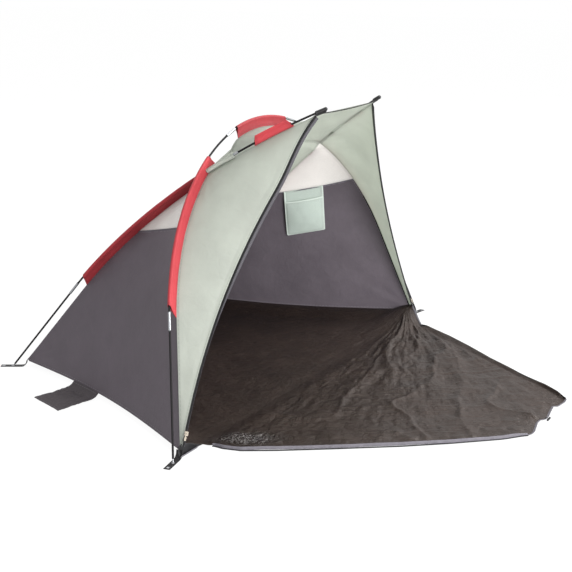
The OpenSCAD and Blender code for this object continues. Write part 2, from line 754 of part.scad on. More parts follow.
// Where a pole's line meets the ground, and the cloth corner beside it
function ground_hit(p, along) = p - along * (p.z / along.z);
front_hit = ground_hit(hoop_at(0), unit(hoop_at(1) - hoop_at(0)));
rear_hit = ground_hit(roof_at(0), unit(roof_at(1) - roof_at(0)));
front_corner = [hem_front.x, hem_front.y, corner_lift];
rear_corner = [hem_rear.x, hem_rear.y, corner_lift];
module front_left_strap() {
    reach = norm([front_corner.x - front_hit.x, front_corner.y - front_hit.y]);
    color(webbing_black) at_corner(front_hit, front_corner) strap(reach, corner_lift);
}
module front_right_strap() {
    right_side() front_left_strap();
}
module rear_left_strap() {
    reach = norm([rear_corner.x - rear_hit.x, rear_corner.y - rear_hit.y]);
    color(webbing_black) at_corner(rear_hit, rear_corner) strap(reach, corner_lift);
}
module rear_right_strap() {
    right_side() rear_left_strap();
}
module left_rings(at, outer_d, bore_d) {
    for (pair = [[front_hit, front_corner], [rear_hit, rear_corner]])
        at_corner(pair[0], pair[1]) translate([at, 0, 0])
            difference() {
                cylinder(d = outer_d, h = eyelet_h);
                translate([0, 0, -1]) cylinder(d = bore_d, h = eyelet_h + 2);
            }
}
module pin_grommets() {
    color(steel) {
        left_rings(0, grommet_d, grommet_bore);
        right_side() left_rings(0, grommet_d, grommet_bore);
    }
}
module peg_eyelets() {
    color(steel) {
        left_rings(eyelet_at, eyelet_d, eyelet_bore);
        right_side() left_rings(eyelet_at, eyelet_d, eyelet_bore);
    }
}

// A side flap is sewn to the wall's hem, drops to the ground and lies outwards for a load of sand
side_flap_at = 0.62;
flap_gap = 1.2;
module left_side_flap() {
    t_half = side_flap_len / 2 / depth;
    a = hem(side_flap_at - t_half);
    b = hem(side_flap_at + t_half);
    out = unit([a.y - b.y, b.x - a.x, 0]);
    drop = 40;
    rise = min(a.z, b.z);
    function flap_row(p) = [
        for (q = [[flap_gap, rise], [drop / 2, rise * 0.4], [drop, cloth_t / 2], [side_flap_w, cloth_t / 2]])
            [p.x, p.y, 0] + out * q.x + [0, 0, q.y]
    ];
    color(wall_grey) sheet([for (k = [-2:2]) flap_row(hem(side_flap_at + t_half * k / 2))]);
}
module right_side_flap() {
    right_side() left_side_flap();
}

for (k = [1:len(hoop_stops) - 1]) hoop_section(k);
for (k = [1:len(roof_stops) - 1]) {
    left_roof_section(k);
    right_roof_section(k);
}
hoop_ferrules();
left_roof_ferrules();
right_roof_ferrules();
hoop_shock_cord();
left_roof_shock_cord();
right_roof_shock_cord();
foot_pins();
left_hoop_sleeve();
right_hoop_sleeve();
top_hoop_sleeve();
left_rear_sleeve();
right_rear_sleeve();
left_front_sleeve();
right_front_sleeve();
tip_pockets();
left_wall();
right_wall();
left_mesh_window();
right_mesh_window();
left_front_panel();
right_front_panel();
roof_panel();
back_panel();
back_wall();
groundsheet();
front_binding();
left_zip_tape();
right_zip_tape();
left_zip_slider();
right_zip_slider();
left_zip_pull();
right_zip_pull();
front_flap();
flap_zip_tapes();
flap_toggle();
inner_pocket();
front_left_strap();
front_right_strap();
rear_left_strap();
rear_right_strap();
pin_grommets();
peg_eyelets();
left_side_flap();
right_side_flap();
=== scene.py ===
"""The looks of a pole-framed beach shelter: its cloth, trim and finishes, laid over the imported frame.

Row frame, in metres: the origin is on the ground in the middle of the floor, +Z is up and the open front
faces -Y. The shapes below are worked out in millimetres.
"""

import math

import bpy
import numpy as np
from mathutils import Matrix, Vector


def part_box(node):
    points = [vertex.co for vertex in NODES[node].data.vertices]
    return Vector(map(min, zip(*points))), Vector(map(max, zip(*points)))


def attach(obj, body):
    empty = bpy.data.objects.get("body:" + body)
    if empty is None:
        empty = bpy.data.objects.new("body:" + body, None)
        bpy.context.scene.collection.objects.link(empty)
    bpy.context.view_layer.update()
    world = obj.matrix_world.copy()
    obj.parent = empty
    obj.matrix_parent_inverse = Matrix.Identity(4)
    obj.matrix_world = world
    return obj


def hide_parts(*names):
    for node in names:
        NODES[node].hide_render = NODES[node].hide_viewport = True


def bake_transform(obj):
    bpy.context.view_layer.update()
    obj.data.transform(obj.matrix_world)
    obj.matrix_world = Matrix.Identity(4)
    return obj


bl_info = {
    "name": "Beach Shelter",
    "version": (1, 0, 0),
    "blender": (4, 5, 0),
    "location": "View3D > Sidebar > Shelter",
    "description": "Builds the cloth, trim and finishes of a beach shelter around its packed frame",
    "category": "Add Mesh",
}

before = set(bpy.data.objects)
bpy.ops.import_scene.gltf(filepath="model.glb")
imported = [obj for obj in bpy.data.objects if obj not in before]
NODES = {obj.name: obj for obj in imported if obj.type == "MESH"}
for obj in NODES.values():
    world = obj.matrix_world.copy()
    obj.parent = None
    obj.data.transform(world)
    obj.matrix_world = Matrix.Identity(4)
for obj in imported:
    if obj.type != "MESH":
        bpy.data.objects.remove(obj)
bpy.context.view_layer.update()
MM = 0.001
UP = np.array([0, 0, 1.0])
SIDES = ("left", "right")
# share of each wall's height at which its window begins, at the rear and at the hoop
WINDOW_SEAM = {"left": (0.695, 0.755), "right": (0.655, 0.715)}
# share of the back's height at which its pale panel begins
BACK_SEAM = 0.7


# Sizes and colours that a user would change


def linear(code):
    """An sRGB hex colour as the linear values that a shader takes."""
    parts = [int(code[k : k + 2], 16) / 255 for k in (1, 3, 5)]
    return tuple(c / 12.92 if c <= 0.04045 else ((c + 0.055) / 1.055) ** 2.4 for c in parts)


def size(label, note, default):
    return bpy.props.FloatProperty(
        name=label, description=note, default=default, min=0, precision=4, unit="LENGTH"
    )


def turn(label, note, degrees):
    return bpy.props.FloatProperty(
        name=label, description=note, default=math.radians(degrees), subtype="ANGLE"
    )


def colour(label, note, code):
    return bpy.props.FloatVectorProperty(
        name=label, description=note, default=linear(code), size=3, min=0, max=1, subtype="COLOR"
    )


class ShelterFrame(bpy.types.PropertyGroup):
    """The frame's own sizes, which the cloth hangs on"""

    front_span: size("Front span", "Distance between the front feet of the hoop", 2.0)
    rear_span: size("Rear span", "Distance between the rear feet of the roof poles", 1.206)
    depth: size("Depth", "Distance from the sill back to the rear feet", 1.16)
    foot_lift: size("Foot lift", "Height of the pole ends above the ground", 0.014)
    tip_span: size("Tip span", "Distance between the front tips of the roof poles", 0.436)
    tip_reach: size("Tip reach", "How far the tips stand out past the sill", 0.161)
    tip_height: size("Tip height", "Height of the front tips", 1.161)
    hoop_lean: turn("Hoop lean", "Lean of the hoop towards the rear", 14.7)
    leg_lean: turn("Leg lean", "Inward lean of each leg in the hoop's plane", 18.6)
    shoulder_turn: turn("Shoulder turn", "Turn of each shoulder bend", 54.9)
    hoop_cross: size("Crossing", "Distance along the hoop to where a roof pole passes", 1.137)
    rear_leg: size("Rear leg", "Straight rear section of each roof pole", 0.526)
    cross_gap: size("Crossing gap", "Distance between pole centres at the crossing", 0.026)
    section: size("Section", "Length of one bent pole section", 0.45)
    seam_set: size("Seam set", "Distance from a pole's centre to the seam beside it", 0.038)
    corner_set: size("Corner set", "Distance along a pole from its foot to the cloth", 0.04)
    top_sleeve: size("Top sleeve", "Length of the sleeve over the top of the hoop", 0.376)
    front_set: size("Front seam set", "Distance from a roof pole to the seam in front of the hoop", 0.013)
    ridge_sag: size("Ridge sag", "Sag of the ridge between the hoop's sleeves", 0.03)
    edge_bow: size("Edge bow", "Bow of each front edge towards the hoop", 0.077)
    side_bow: size("Side bow", "Inward bow of each side of the floor", 0.055)
    side_lift: size("Side lift", "Rise of the floor's side edge at its middle", 0.026)
    corner_lift: size("Corner lift", "Rise of the floor's edge at its corners", 0.03)


class ShelterCloth(bpy.types.PropertyGroup):
    """Sizes of the cloth and trim"""

    thick: size("Cloth", "Thickness of the shell's cloth", 0.0008)
    sleeve_bore: size("Sleeve bore", "Width of the tunnel that a sleeve makes for its pole", 0.0128)
    wrinkle: size("Wrinkles", "Height of the wrinkles in the shell", 0.0032)
    floor_crease: size("Floor creases", "Height of the creases in the floor", 0.004)
    flap_fold: size("Flap folds", "Height of the folds that fan out over the flap", 0.02)
    flap_length: size("Flap length", "Length of the flap as it lies", 1.0)
    pitch: size("Coil pitch", "Distance between two turns of a zip's coil", 0.003)
    pocket_width: size("Pocket width", "Width of the inner pocket", 0.184)
    pocket_height: size("Pocket height", "Height of the inner pocket", 0.246)
    pocket_room: size("Pocket room", "Room between the pocket's two layers", 0.016)
    pocket_lean: turn("Pocket lean", "Lean of the inner pocket along the wall", 22)
    strap: size("Strap", "Width of a webbing strap", 0.026)


class ShelterColours(bpy.types.PropertyGroup):
    """Colours of the cloth and trim"""

    wall: colour("Walls", "Side walls and back wall", "#635c63")
    # the side flaps take the walls' cloth painted darker: painted shade, for where they lie at the foot of
    # the walls
    side_flap: colour("Side flaps", "Side flaps at the foot of the walls", "#454043")
    panel: colour("Panels", "Front, roof and back panels", "#ced2ca")
    sleeve: colour("Sleeves", "Pole sleeves", "#a2363c")
    mesh: colour("Mesh", "Mesh windows", "#eeebe8")
    sheer: colour("Pocket", "Sheer cloth of the inner pocket", "#d6e2da")
    floor: colour("Floor", "Groundsheet and front flap", "#251c18")
    webbing: colour("Webbing", "Straps, tip pockets and zip tapes", "#141315")
    binding: colour("Binding", "Binding along the flap and the window seams", "#625f66")
    edge: colour("Edge tape", "Folded tape along the front edges", "#3f3d42")
    pole: colour("Poles", "Pole sections", "#1b1a1b")
    steel: colour("Steel", "Ferrules, pins, eyelets", "#96989b")
    pull: colour("Zip pulls", "Sliders and pulls", "#a89f92")


# The lines that the cloth hangs on


def mix(a, b, t):
    return a + (b - a) * t


def ease(t):
    c = np.clip(t, 0, 1)
    return c * c * (3 - 2 * c)


def unit(v):
    """A vector, or each row of vectors, at a length of 1."""
    return v / np.linalg.norm(v, axis=-1, keepdims=True)


def flip(p):
    """The mirror image on the other side of the shelter."""
    return p * np.array([-1.0, 1.0, 1.0])


def line_on(side, line):
    """A line drawn on the left, as it lies on the given side."""
    return line if side == "left" else flip(line)


def track_step(p, run, radius):
    x, y, heading = p
    if radius == 0:
        return x + run * math.cos(heading), y + run * math.sin(heading), heading
    turned = heading - run / radius
    return (
        x + radius * (math.sin(heading) - math.sin(turned)),
        y - radius * (math.cos(heading) - math.cos(turned)), turned,
    )


def track_point(track, start, s):
    """Where a flat path of (length, radius) runs, bending right, has come to after s: x, y and heading."""
    for run, radius in track[:-1]:
        if s <= run:
            return track_step(start, s, radius)
        start = track_step(start, run, radius)
        s -= run
    return track_step(start, s, track[-1][1])


class Shell:
    """The poles, seams and edges as the part's source draws them, in millimetres."""

    angles = ("hoop_lean", "leg_lean", "shoulder_turn")
    # from a roof pole's tip back to the end of its seam, and on to where the front edge meets that seam
    tip_set, edge_set = 21, 26
    # run behind the crossing in which the roof's seam rises to the hoop's, and the run in front in which it
    # nears the pole
    seam_rise, seam_fall = 34, 120
    # foot of the left front edge, from the hoop's foot and the sill
    edge_foot = np.array([50, -8, 44])
    # share of a front edge at which it begins to bend to the tip, and the share in which it does
    bend_from, bend_run = 0.74, 0.24
    # share of the way to the crossing that a wall reaches, and how many times the draw to its corner goes
    # into it
    wall_reach, corner_draws = 0.995, 12

    def __init__(self, made):
        for key in made.__annotations__:
            value = getattr(made, key)
            setattr(self, key, value if key in self.angles else value / MM)
        self.sill = -self.depth / 2
        self.draw_hoop()
        self.draw_roof()
        self.draw_edge()
        self.hem_front = self.hoop_at(self.corner_set, self.seam_set)
        self.hem_rear = self.roof_seam(self.corner_set)

    def draw_hoop(self):
        leg = math.pi / 2 - self.leg_lean
        top = leg - self.shoulder_turn
        shoulder = 2 * self.section
        bend = shoulder / self.shoulder_turn
        crown = self.section / 2 / top
        reach = bend * (math.sin(leg) - math.sin(top)) + crown * math.sin(top)
        straight = (self.front_span / 2 - reach) / math.sin(self.leg_lean)
        self.hoop_start = (-self.front_span / 2, 0.0, leg)
        self.hoop_track = [
            (straight, 0),
            (shoulder, bend),
            (self.section, crown),
            (shoulder, bend),
            (straight, 0),
        ]
        self.hoop_len = sum(run for run, _ in self.hoop_track)
        self.hoop_out = np.array([0, -math.cos(self.hoop_lean), math.sin(self.hoop_lean)])
        self.top_from = (self.hoop_len - self.top_sleeve) / 2

    def hoop_at(self, s, inset=0.0):
        x, y, h = track_point(self.hoop_track, self.hoop_start, s)
        x, y = x + inset * math.sin(h), y - inset * math.cos(h)
        lean = self.hoop_lean
        return np.array([x, self.sill + y * math.sin(lean), self.foot_lift + y * math.cos(lean)])

    def draw_roof(self):
        self.rear_foot = np.array([-self.rear_span / 2, self.sill + self.depth, self.foot_lift])
        tip = np.array([-self.tip_span / 2, self.sill - self.tip_reach, self.tip_height])
        cross = self.hoop_at(self.hoop_cross, self.cross_gap) - self.rear_foot
        chord = np.linalg.norm(tip - self.rear_foot)
        self.roof_x = unit(tip - self.rear_foot)
        cross_x = cross @ self.roof_x
        rise = cross - cross_x * self.roof_x
        self.roof_y = unit(rise)
        self.roof_out = np.cross(self.roof_x, self.roof_y)
        leg = self.rear_leg

        def bend(a):
            dx, dy = chord - leg * math.cos(a), leg * math.sin(a)
            sweep = 2 * (a + math.atan2(dy, dx))
            return sweep, math.hypot(dx, dy) / (2 * math.sin(sweep / 2))

        low, high = math.radians(1), math.radians(30)
        for _ in range(40):
            a = (low + high) / 2
            radius = bend(a)[1]
            dx = cross_x - leg * math.cos(a) - radius * math.sin(a)
            height = leg * math.sin(a) - radius * math.cos(a) + math.sqrt(radius**2 - dx**2)
            low, high = (a, high) if height < np.linalg.norm(rise) else (low, a)
        slope = (low + high) / 2
        sweep, radius = bend(slope)
        self.roof_track = [(leg, 0), (radius * sweep, radius)]
        self.roof_start = (0.0, 0.0, slope)
        self.roof_len = leg + radius * sweep
        heading = math.asin((leg * math.cos(slope) + radius * math.sin(slope) - cross_x) / radius)
        self.roof_cross = leg + radius * (slope - heading)
        self.tip_seam = self.roof_len - self.tip_set
        self.edge_end = self.tip_seam - self.edge_set
        self.seam_shift = self.hoop_at(self.hoop_cross, self.seam_set) - self.roof_at(
            self.roof_cross, self.seam_set
        )

    def roof_at(self, s, inset=0.0):
        x, y, h = track_point(self.roof_track, self.roof_start, s)
        x, y = x + inset * math.sin(h), y - inset * math.cos(h)
        return self.rear_foot + x * self.roof_x + y * self.roof_y

    def roof_seam(self, s):
        """The seam beside a roof pole, which rises to the hoop's seam and lies close to the pole in front."""
        past = s - self.roof_cross
        if past < 0:
            return self.roof_at(s, self.seam_set) + self.seam_shift * ease(1 + past / self.seam_rise)
        meet = self.hoop_at(self.hoop_cross, self.seam_set)
        shift = meet - self.roof_at(self.roof_cross, self.front_set)
        return self.roof_at(s, self.front_set) + shift * ease(1 - past / self.seam_fall)

    def seam_depth(self, s):
        """Distance from a roof pole to the seam behind the hoop."""
        rise = ease(1 + (s - self.roof_cross) / self.seam_rise)
        return self.seam_set - np.linalg.norm(self.seam_shift) * rise

    def hoop_seam(self, s):
        return self.hoop_at(s, self.seam_set)

    def ridge(self, t):
        """The seam over the top, from one crossing to the other, which sags between the sleeves."""
        s = mix(self.hoop_cross, self.hoop_len - self.hoop_cross, t)
        near = min(s, self.hoop_len - s)
        share = np.clip((near - self.hoop_cross) / (self.top_from - self.hoop_cross), 0, 1)
        return self.hoop_at(s, self.seam_set + self.ridge_sag * math.sin(math.pi * share) ** 2)

    def draw_edge(self):
        foot = np.array([-self.front_span / 2, self.sill, 0]) + self.edge_foot
        tip = self.roof_at(self.tip_seam, self.seam_set)
        self.edge_lift = self.roof_seam(self.edge_end) - tip
        chord = np.linalg.norm(tip - foot)
        self.edge_y = unit(tip - foot)
        pull = self.hoop_seam(self.hoop_cross / 2) - (foot + tip) / 2
        self.edge_x = unit(pull - (pull @ self.edge_y) * self.edge_y)
        self.edge_z = np.cross(self.edge_x, self.edge_y)
        self.edge_r = chord**2 / (8 * self.edge_bow) + self.edge_bow / 2
        self.edge_half = math.asin(chord / (2 * self.edge_r))
        self.edge_centre = (foot + tip) / 2 - (self.edge_r - self.edge_bow) * self.edge_x

    def edge_at(self, t, out=0.0):
        """The left front edge, an arc from the foot that bends to the pole's tip at its end."""
        a = mix(-self.edge_half, self.edge_half, t)
        r = self.edge_r + out
        bend = self.edge_lift * ease((t - self.bend_from) / self.bend_run)
        return self.edge_centre + r * math.cos(a) * self.edge_x + r * math.sin(a) * self.edge_y + bend

    def hem(self, t):
        """The left side of the floor, from the front corner to the rear corner."""
        x, y = mix(self.hem_front[:2], self.hem_rear[:2], t)
        arch = math.sin(math.pi * t)
        return np.array([x + self.side_bow * arch, y, mix(self.corner_lift, self.side_lift, arch)])

    def from_corner(self, seam, foot, s, v):
        """A point of a seam that is drawn to the floor's corner at its foot."""
        corner = np.array([*foot[:2], self.corner_lift])
        return mix(seam(s), corner, ease(1 - v * self.corner_draws))

    def wall_rear(self, v):
        s = mix(self.corner_set, self.roof_cross, v * self.wall_reach)
        return self.from_corner(self.roof_seam, self.hem_rear, s, v)

    def wall_front(self, v):
        s = mix(self.corner_set, self.hoop_cross, v * self.wall_reach)
        return self.from_corner(self.hoop_seam, self.hem_front, s, v)

    def back_side(self, v):
        s = mix(self.corner_set, self.roof_cross, v)
        return self.from_corner(self.roof_seam, self.hem_rear, s, v)

    def side_sheet(self, nu, nv, v_from, v_to):
        """The left side between the floor, the roof pole and the hoop, from one share of its height up to
        another."""
        return coons(
            self.wall_rear, self.wall_front, lambda u: self.hem(1 - u),
            lambda u: mix(self.wall_rear(1), self.wall_front(1), u), nu, nv, v_from, v_to,
        )

    def back_sheet(self, nu, nv, v_from, v_to):
        """The back between the floor, the roof poles and the ridge, from one share of its height up to
        another."""
        return coons(
            self.back_side, lambda v: flip(self.back_side(v)),
            lambda u: mix(self.hem(1), flip(self.hem(1)), u), self.ridge, nu, nv, v_from, v_to,
        )


# Mesh helpers for cloth


def noise(x, y, seed):
    """Smooth noise from -1 to 1 with a spacing of about 1, the same on every run."""
    cells = 64
    table = np.random.default_rng(seed).uniform(-1, 1, (cells, cells))
    x, y = np.broadcast_arrays(np.asarray(x, float), np.asarray(y, float))
    i, j = np.floor(x).astype(int), np.floor(y).astype(int)
    fx, fy = ease(x - i), ease(y - j)
    near, far = (
        mix(table[i % cells, k % cells], table[(i + 1) % cells, k % cells], fx) for k in (j, j + 1)
    )
    return mix(near, far, fy)


def coons(c0, c1, d0, d1, nu, nv, v_from=0.0, v_to=1.0):
    """A sheet over four border curves: c0 and c1 run up the sides, d0 and d1 across the bottom and top.
    v_from and v_to may change from one side to the other, as (left, right)."""
    us, steps = np.linspace(0, 1, nu + 1), np.linspace(0, 1, nv + 1)
    ends = [np.broadcast_to(v, 2) for v in (v_from, v_to)]
    low_v, high_v = (mix(end[0], end[1], us)[:, None] for end in ends)
    vs = mix(low_v, high_v, steps[None])
    rows = vs if np.ptp(low_v) + np.ptp(high_v) > 0 else vs[:1]
    left, right = (np.array([[side(v) for v in row] for row in rows]) for side in (c0, c1))
    low, high = np.array([d0(u) for u in us])[:, None], np.array([d1(u) for u in us])[:, None]
    u, v = us[:, None, None], vs[..., None]
    corners = mix(mix(c0(0), c1(0), u), mix(c0(1), c1(1), u), v)
    return mix(left, right, u) + mix(low, high, v) - corners


def normals(grid):
    along, over = np.gradient(grid, axis=0), np.gradient(grid, axis=1)
    n = np.cross(along, over)
    return n / np.maximum(np.linalg.norm(n, axis=2, keepdims=True), 1e-9)


def spans(grid):
    """How far each point lies along its row and along its column, in millimetres of cloth."""
    found = []
    for axis in (0, 1):
        step = np.linalg.norm(np.diff(grid, axis=axis), axis=2)
        zero = np.zeros_like(np.take(step, [0], axis=axis))
        found.append(np.concatenate([zero, np.cumsum(step, axis=axis)], axis=axis))
    return found


def edge_distance(grid):
    """Distance from each point to the nearest edge of its sheet, in millimetres."""
    u, v = spans(grid)
    return np.minimum(np.minimum(u, u[-1:] - u), np.minimum(v, v[:, -1:] - v))


def mirrored(grid):
    """The same sheet on the other side, with its faces still pointing out."""
    return flip(grid)[::-1]


def sheet_on(side, grid):
    """A sheet drawn on the left, as it lies on the given side."""
    return grid if side == "left" else mirrored(grid)


def new_object(name, points, faces):
    """A mesh object at the origin from points in millimetres."""
    mesh = bpy.data.meshes.new(name)
    mesh.from_pydata((points.reshape(-1, 3) * MM).tolist(), [], faces)
    obj = bpy.data.objects.new(name, mesh)
    bpy.context.scene.collection.objects.link(obj)
    return obj


def mark_cloth(mesh, along, across, edge):
    """Stores each point's place on the cloth, as UVs in metres, and its millimetres to the nearest edge."""
    uv = np.stack([along, across], -1).reshape(-1, 2) * MM
    layer = mesh.uv_layers.new(name="cloth")
    corners = np.zeros(len(mesh.loops), np.int32)
    mesh.loops.foreach_get("vertex_index", corners)
    layer.data.foreach_set("uv", uv[corners].astype(np.float32).ravel())
    near = mesh.attributes.new("edge_mm", "FLOAT", "POINT")
    near.data.foreach_set("value", edge.astype(np.float32).ravel())


SOFT_EDGE = math.radians(50)


def finish_mesh(obj, *modifiers):
    """Adds each (kind, settings) modifier, applies it and shades the piece smooth across its soft edges."""
    bpy.ops.object.select_all(action="DESELECT")
    obj.select_set(True)
    bpy.context.view_layer.objects.active = obj
    for kind, settings in modifiers:
        added = obj.modifiers.new(kind.title(), kind)
        for key, value in settings.items():
            setattr(added, key, value)
        bpy.ops.object.modifier_apply(modifier=added.name)
    bpy.ops.object.shade_smooth_by_angle(angle=SOFT_EDGE)
    return obj


def cloth(name, grid, thick):
    """One sheet over a grid of points, marked with its place on the cloth and given its thickness."""
    rows, cols = grid.shape[:2]
    ids = np.arange(rows * cols).reshape(rows, cols)
    quads = np.stack([ids[:-1, :-1], ids[1:, :-1], ids[1:, 1:], ids[:-1, 1:]], -1)
    obj = new_object(name, grid, quads.reshape(-1, 4).tolist())
    mark_cloth(obj.data, *spans(grid), edge_distance(grid))
    return finish_mesh(obj, ("SOLIDIFY", {"thickness": thick * MM, "offset": 0, "use_even_offset": False}))


def sweep(name, points, sides, profile):
    """A closed band: a profile of (side, lift) in millimetres carried along points, capped at both ends."""
    points, sides, profile = (np.asarray(given, float) for given in (points, sides, profile))
    runs = unit(np.gradient(points, axis=0))
    sides = unit(sides - (sides * runs).sum(1, keepdims=True) * runs)
    ups = np.cross(runs, sides)
    rings = points[:, None] + sides[:, None] * profile[:, :1] + ups[:, None] * profile[:, 1:]
    ids = np.arange(len(points) * len(profile)).reshape(len(points), len(profile))
    after = np.roll(ids, -1, axis=1)
    faces = np.stack([ids[:-1], after[:-1], after[1:], ids[1:]], -1).reshape(-1, 4).tolist()
    faces += [ids[0][::-1].tolist(), ids[-1].tolist()]
    obj = new_object(name, rings, faces)
    lengths, across = (
        np.concatenate([[0], np.cumsum(np.linalg.norm(np.diff(path, axis=0), axis=1))])
        for path in (points, profile)
    )
    half = np.abs(profile[:, 0])
    edge = np.broadcast_to(half.max() - half, ids.shape)
    mark_cloth(obj.data, *np.meshgrid(lengths, across, indexing="ij"), edge)
    return finish_mesh(obj)


# Tapes and hems: width and thickness in millimetres
SEAM_TAPE, HOOP_TAPE, ZIP_TAPE = (9, 2.0), (7, 1.8), (11, 1.2)
FLOOR_HEM, POCKET_HEM, FRONT_BINDING = (9, 2.2), (8, 1.6), (9, 2.4)
FLAP_GROUND_STRIP, TUCK_BINDING = (8, 2.2), (13, 1.8)


def band(width, thick, rounds=6):
    """The outline of a flat tape with rounded edges, as (side, lift) pairs."""
    r = thick / 2
    turns = np.linspace(-math.pi / 2, math.pi / 2, rounds)
    right = [(width / 2 - r + r * math.cos(a), r * math.sin(a)) for a in turns]
    left = [(-x, -y) for x, y in right]
    return right + left


def rope(radius, sides=10):
    turns = np.linspace(0, 2 * math.pi, sides, endpoint=False)
    return [(radius * math.cos(a), radius * math.sin(a)) for a in turns]


def settle(obj, look, slot, *nodes, body="shelter"):
    """Gives a piece its material, the nodes that it stands for, and the body that it rides on. slot is not
    used.
    """
    obj.data.materials.clear()
    obj.data.materials.append(look)
    if nodes:
        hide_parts(*nodes)
    if body:
        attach(obj, body)
    return obj


def hang(name, grid, thick, look, slot, *nodes, held, rests_on, body="shelter"):
    """A sheet of cloth, settled. held and rests_on, which tell what holds it, are not used."""
    obj = settle(cloth(name, grid, thick), look, slot, *nodes, body=body)
    return obj


def sew(name, line, lean, outline, look, slot, *nodes, body="shelter"):
    """A tape or cord along a line, settled. lean is the direction of its width at each point."""
    lean = np.broadcast_to(lean, line.shape)
    return settle(sweep(name, line, lean, outline), look, slot, *nodes, body=body)


# Materials


def node(tree, kind, links=None, out=0, **settings):
    """Adds one shader node and gives its output: settings are its own, and links gives each input a value or
    another node's output."""
    made = tree.nodes.new(f"ShaderNode{kind}")
    for key, value in settings.items():
        setattr(made, key, value)
    for key, value in (links or {}).items():
        if isinstance(value, bpy.types.NodeSocket):
            tree.links.new(value, made.inputs[key])
        else:
            made.inputs[key].default_value = value
    return made.outputs[out] if made.outputs else None


def blank(name):
    """A material without nodes, or None where it is made already."""
    if name in bpy.data.materials:
        return None
    made = bpy.data.materials.new(name)
    made.use_nodes = True
    made.node_tree.nodes.clear()
    return made


def repeats(size_mm):
    """The Scale at which a noise repeats at about this size: whole repeats in a metre."""
    return float(round(1 / (size_mm * MM)))


# where a noise mostly lies, and a sine, as a Map Range node's From values
NOISE_RANGE = {1: 0.3, 2: 0.7}
WAVE_RANGE = {1: -1.0, 2: 1.0}


def woven(tree, thread):
    """Plain weave on the cloth's own UVs, from -1 to 1, with one crossing each thread millimetres."""
    uv = node(tree, "UVMap", uv_map="cloth")
    turns = 2 * math.pi / (thread * MM)
    turned = node(tree, "VectorMath", {0: uv, 3: turns}, operation="SCALE")
    axes = node(tree, "SeparateXYZ", {0: turned}).node.outputs
    warp, weft = (node(tree, "Math", {0: axes[k]}, operation="SINE") for k in (0, 1))
    return uv, node(tree, "Math", {0: warp, 1: weft}, operation="MULTIPLY")


def coated_cloth(name, tint, thread, rough, through=0.0, fade=0.1, crease=0.5, stitch=None, alpha=None):
    """Woven polyester with a thin coat: an even matt colour, a faint weave, soft creases that catch the
    light, a doubled hem along every edge and a row of stitches in it. Threads of 0.3 mm are too fine to show,
    so the weave is drawn at the given millimetres."""
    made = blank(name)
    if made is None:
        return bpy.data.materials[name]
    tree = made.node_tree
    uv, weave = woven(tree, thread)
    place = node(tree, "TexCoord", out="Object")
    # patches of handling and fading, 125 mm across
    patch = node(
        tree, "TexNoise", {"Vector": place, "Scale": repeats(125), "Detail": 4.0, "Roughness": 0.6}
    )
    tone = node(tree, "MapRange", {0: patch, **NOISE_RANGE, 3: 1 - fade, 4: 1 + fade})
    thread_tone = node(tree, "MapRange", {0: weave, **WAVE_RANGE, 3: 0.975, 4: 1.025})
    tone = node(tree, "Math", {0: tone, 1: thread_tone}, operation="MULTIPLY")
    # the doubled cloth of a hem 10 mm wide is a little darker
    near = node(tree, "Attribute", attribute_name="edge_mm", out="Fac")
    hem = node(tree, "MapRange", {0: near, 1: 10.0, 2: 12.5, 3: 0.92, 4: 1.0})
    tone = node(tree, "Math", {0: tone, 1: hem}, operation="MULTIPLY")
    painted = node(tree, "VectorMath", {0: tint[:3], 3: tone}, operation="SCALE")
    if stitch:
        # a stitch each 8 mm, drawn about twice its size, in a row 7 mm inside the edge
        ends = node(tree, "SeparateXYZ", {0: uv}).node.outputs
        run = node(tree, "Math", {0: ends[0], 1: ends[1]}, operation="ADD")
        dash = node(tree, "Math", {0: run, 1: 8 * MM}, operation="PINGPONG")
        dash = node(tree, "Math", {0: dash, 1: 3 * MM}, operation="GREATER_THAN")
        row = node(tree, "Math", {0: near, 1: 7.0, 2: 1.2}, operation="COMPARE")
        sewn = node(tree, "Math", {0: dash, 1: row}, operation="MULTIPLY")
        painted = node(tree, "Mix", {0: sewn, 6: painted, 7: (*stitch, 1)}, data_type="RGBA", out=2)
    # soft creases, 45 mm apart
    fine = node(
        tree, "TexNoise", {"Vector": place, "Scale": repeats(45), "Detail": 5.0, "Distortion": 0.8}
    )
    folds = node(tree, "Bump", {"Strength": crease, "Distance": 4 * MM, "Height": fine})
    hems = node(tree, "Bump", {"Strength": 0.5, "Distance": 1 * MM, "Height": hem, "Normal": folds})
    threads = node(
        tree, "Bump", {"Strength": 0.25, "Distance": 0.4 * MM, "Height": weave, "Normal": hems}
    )
    dull, shiny = rough + 0.06, rough - 0.06
    gloss = node(tree, "MapRange", {0: patch, **NOISE_RANGE, 3: shiny, 4: dull})
    look = {"Base Color": painted, "Roughness": gloss, "Normal": threads}
    if alpha:
        look["Alpha"] = node(tree, "MapRange", {0: weave, 1: -0.6, 2: 0.6, 3: alpha[0], 4: alpha[1]})
    surface = node(tree, "BsdfPrincipled", {**look, "Specular IOR Level": 0.22, "Sheen Weight": 0.02})
    if through:
        glow = node(tree, "BsdfTranslucent", {"Color": painted, "Normal": threads})
        surface = node(tree, "MixShader", {0: through, 1: surface, 2: glow})
    node(tree, "OutputMaterial", {"Surface": surface})
    return made


def wall_cloth(tints):
    """Grey polyester taffeta with a thin polyurethane coat on the back."""
    return coated_cloth(
        "polyester_taffeta_grey", tints.wall, 4.0, 0.62, through=0.06, stitch=linear("#7c767d")
    )


def flap_cloth(tints):
    """The walls' taffeta in a darker colour, which is painted shade for the flaps at the foot of the walls.
    """
    return coated_cloth("polyester_taffeta_dark", tints.side_flap, 4.0, 0.7, stitch=linear("#5d585e"))


def panel_cloth(tints):
    """Pale polyester taffeta, thin enough that daylight shows through."""
    return coated_cloth(
        "polyester_taffeta_pale", tints.panel, 4.0, 0.6, through=0.6, fade=0.05, stitch=linear("#b4bbb0")
    )


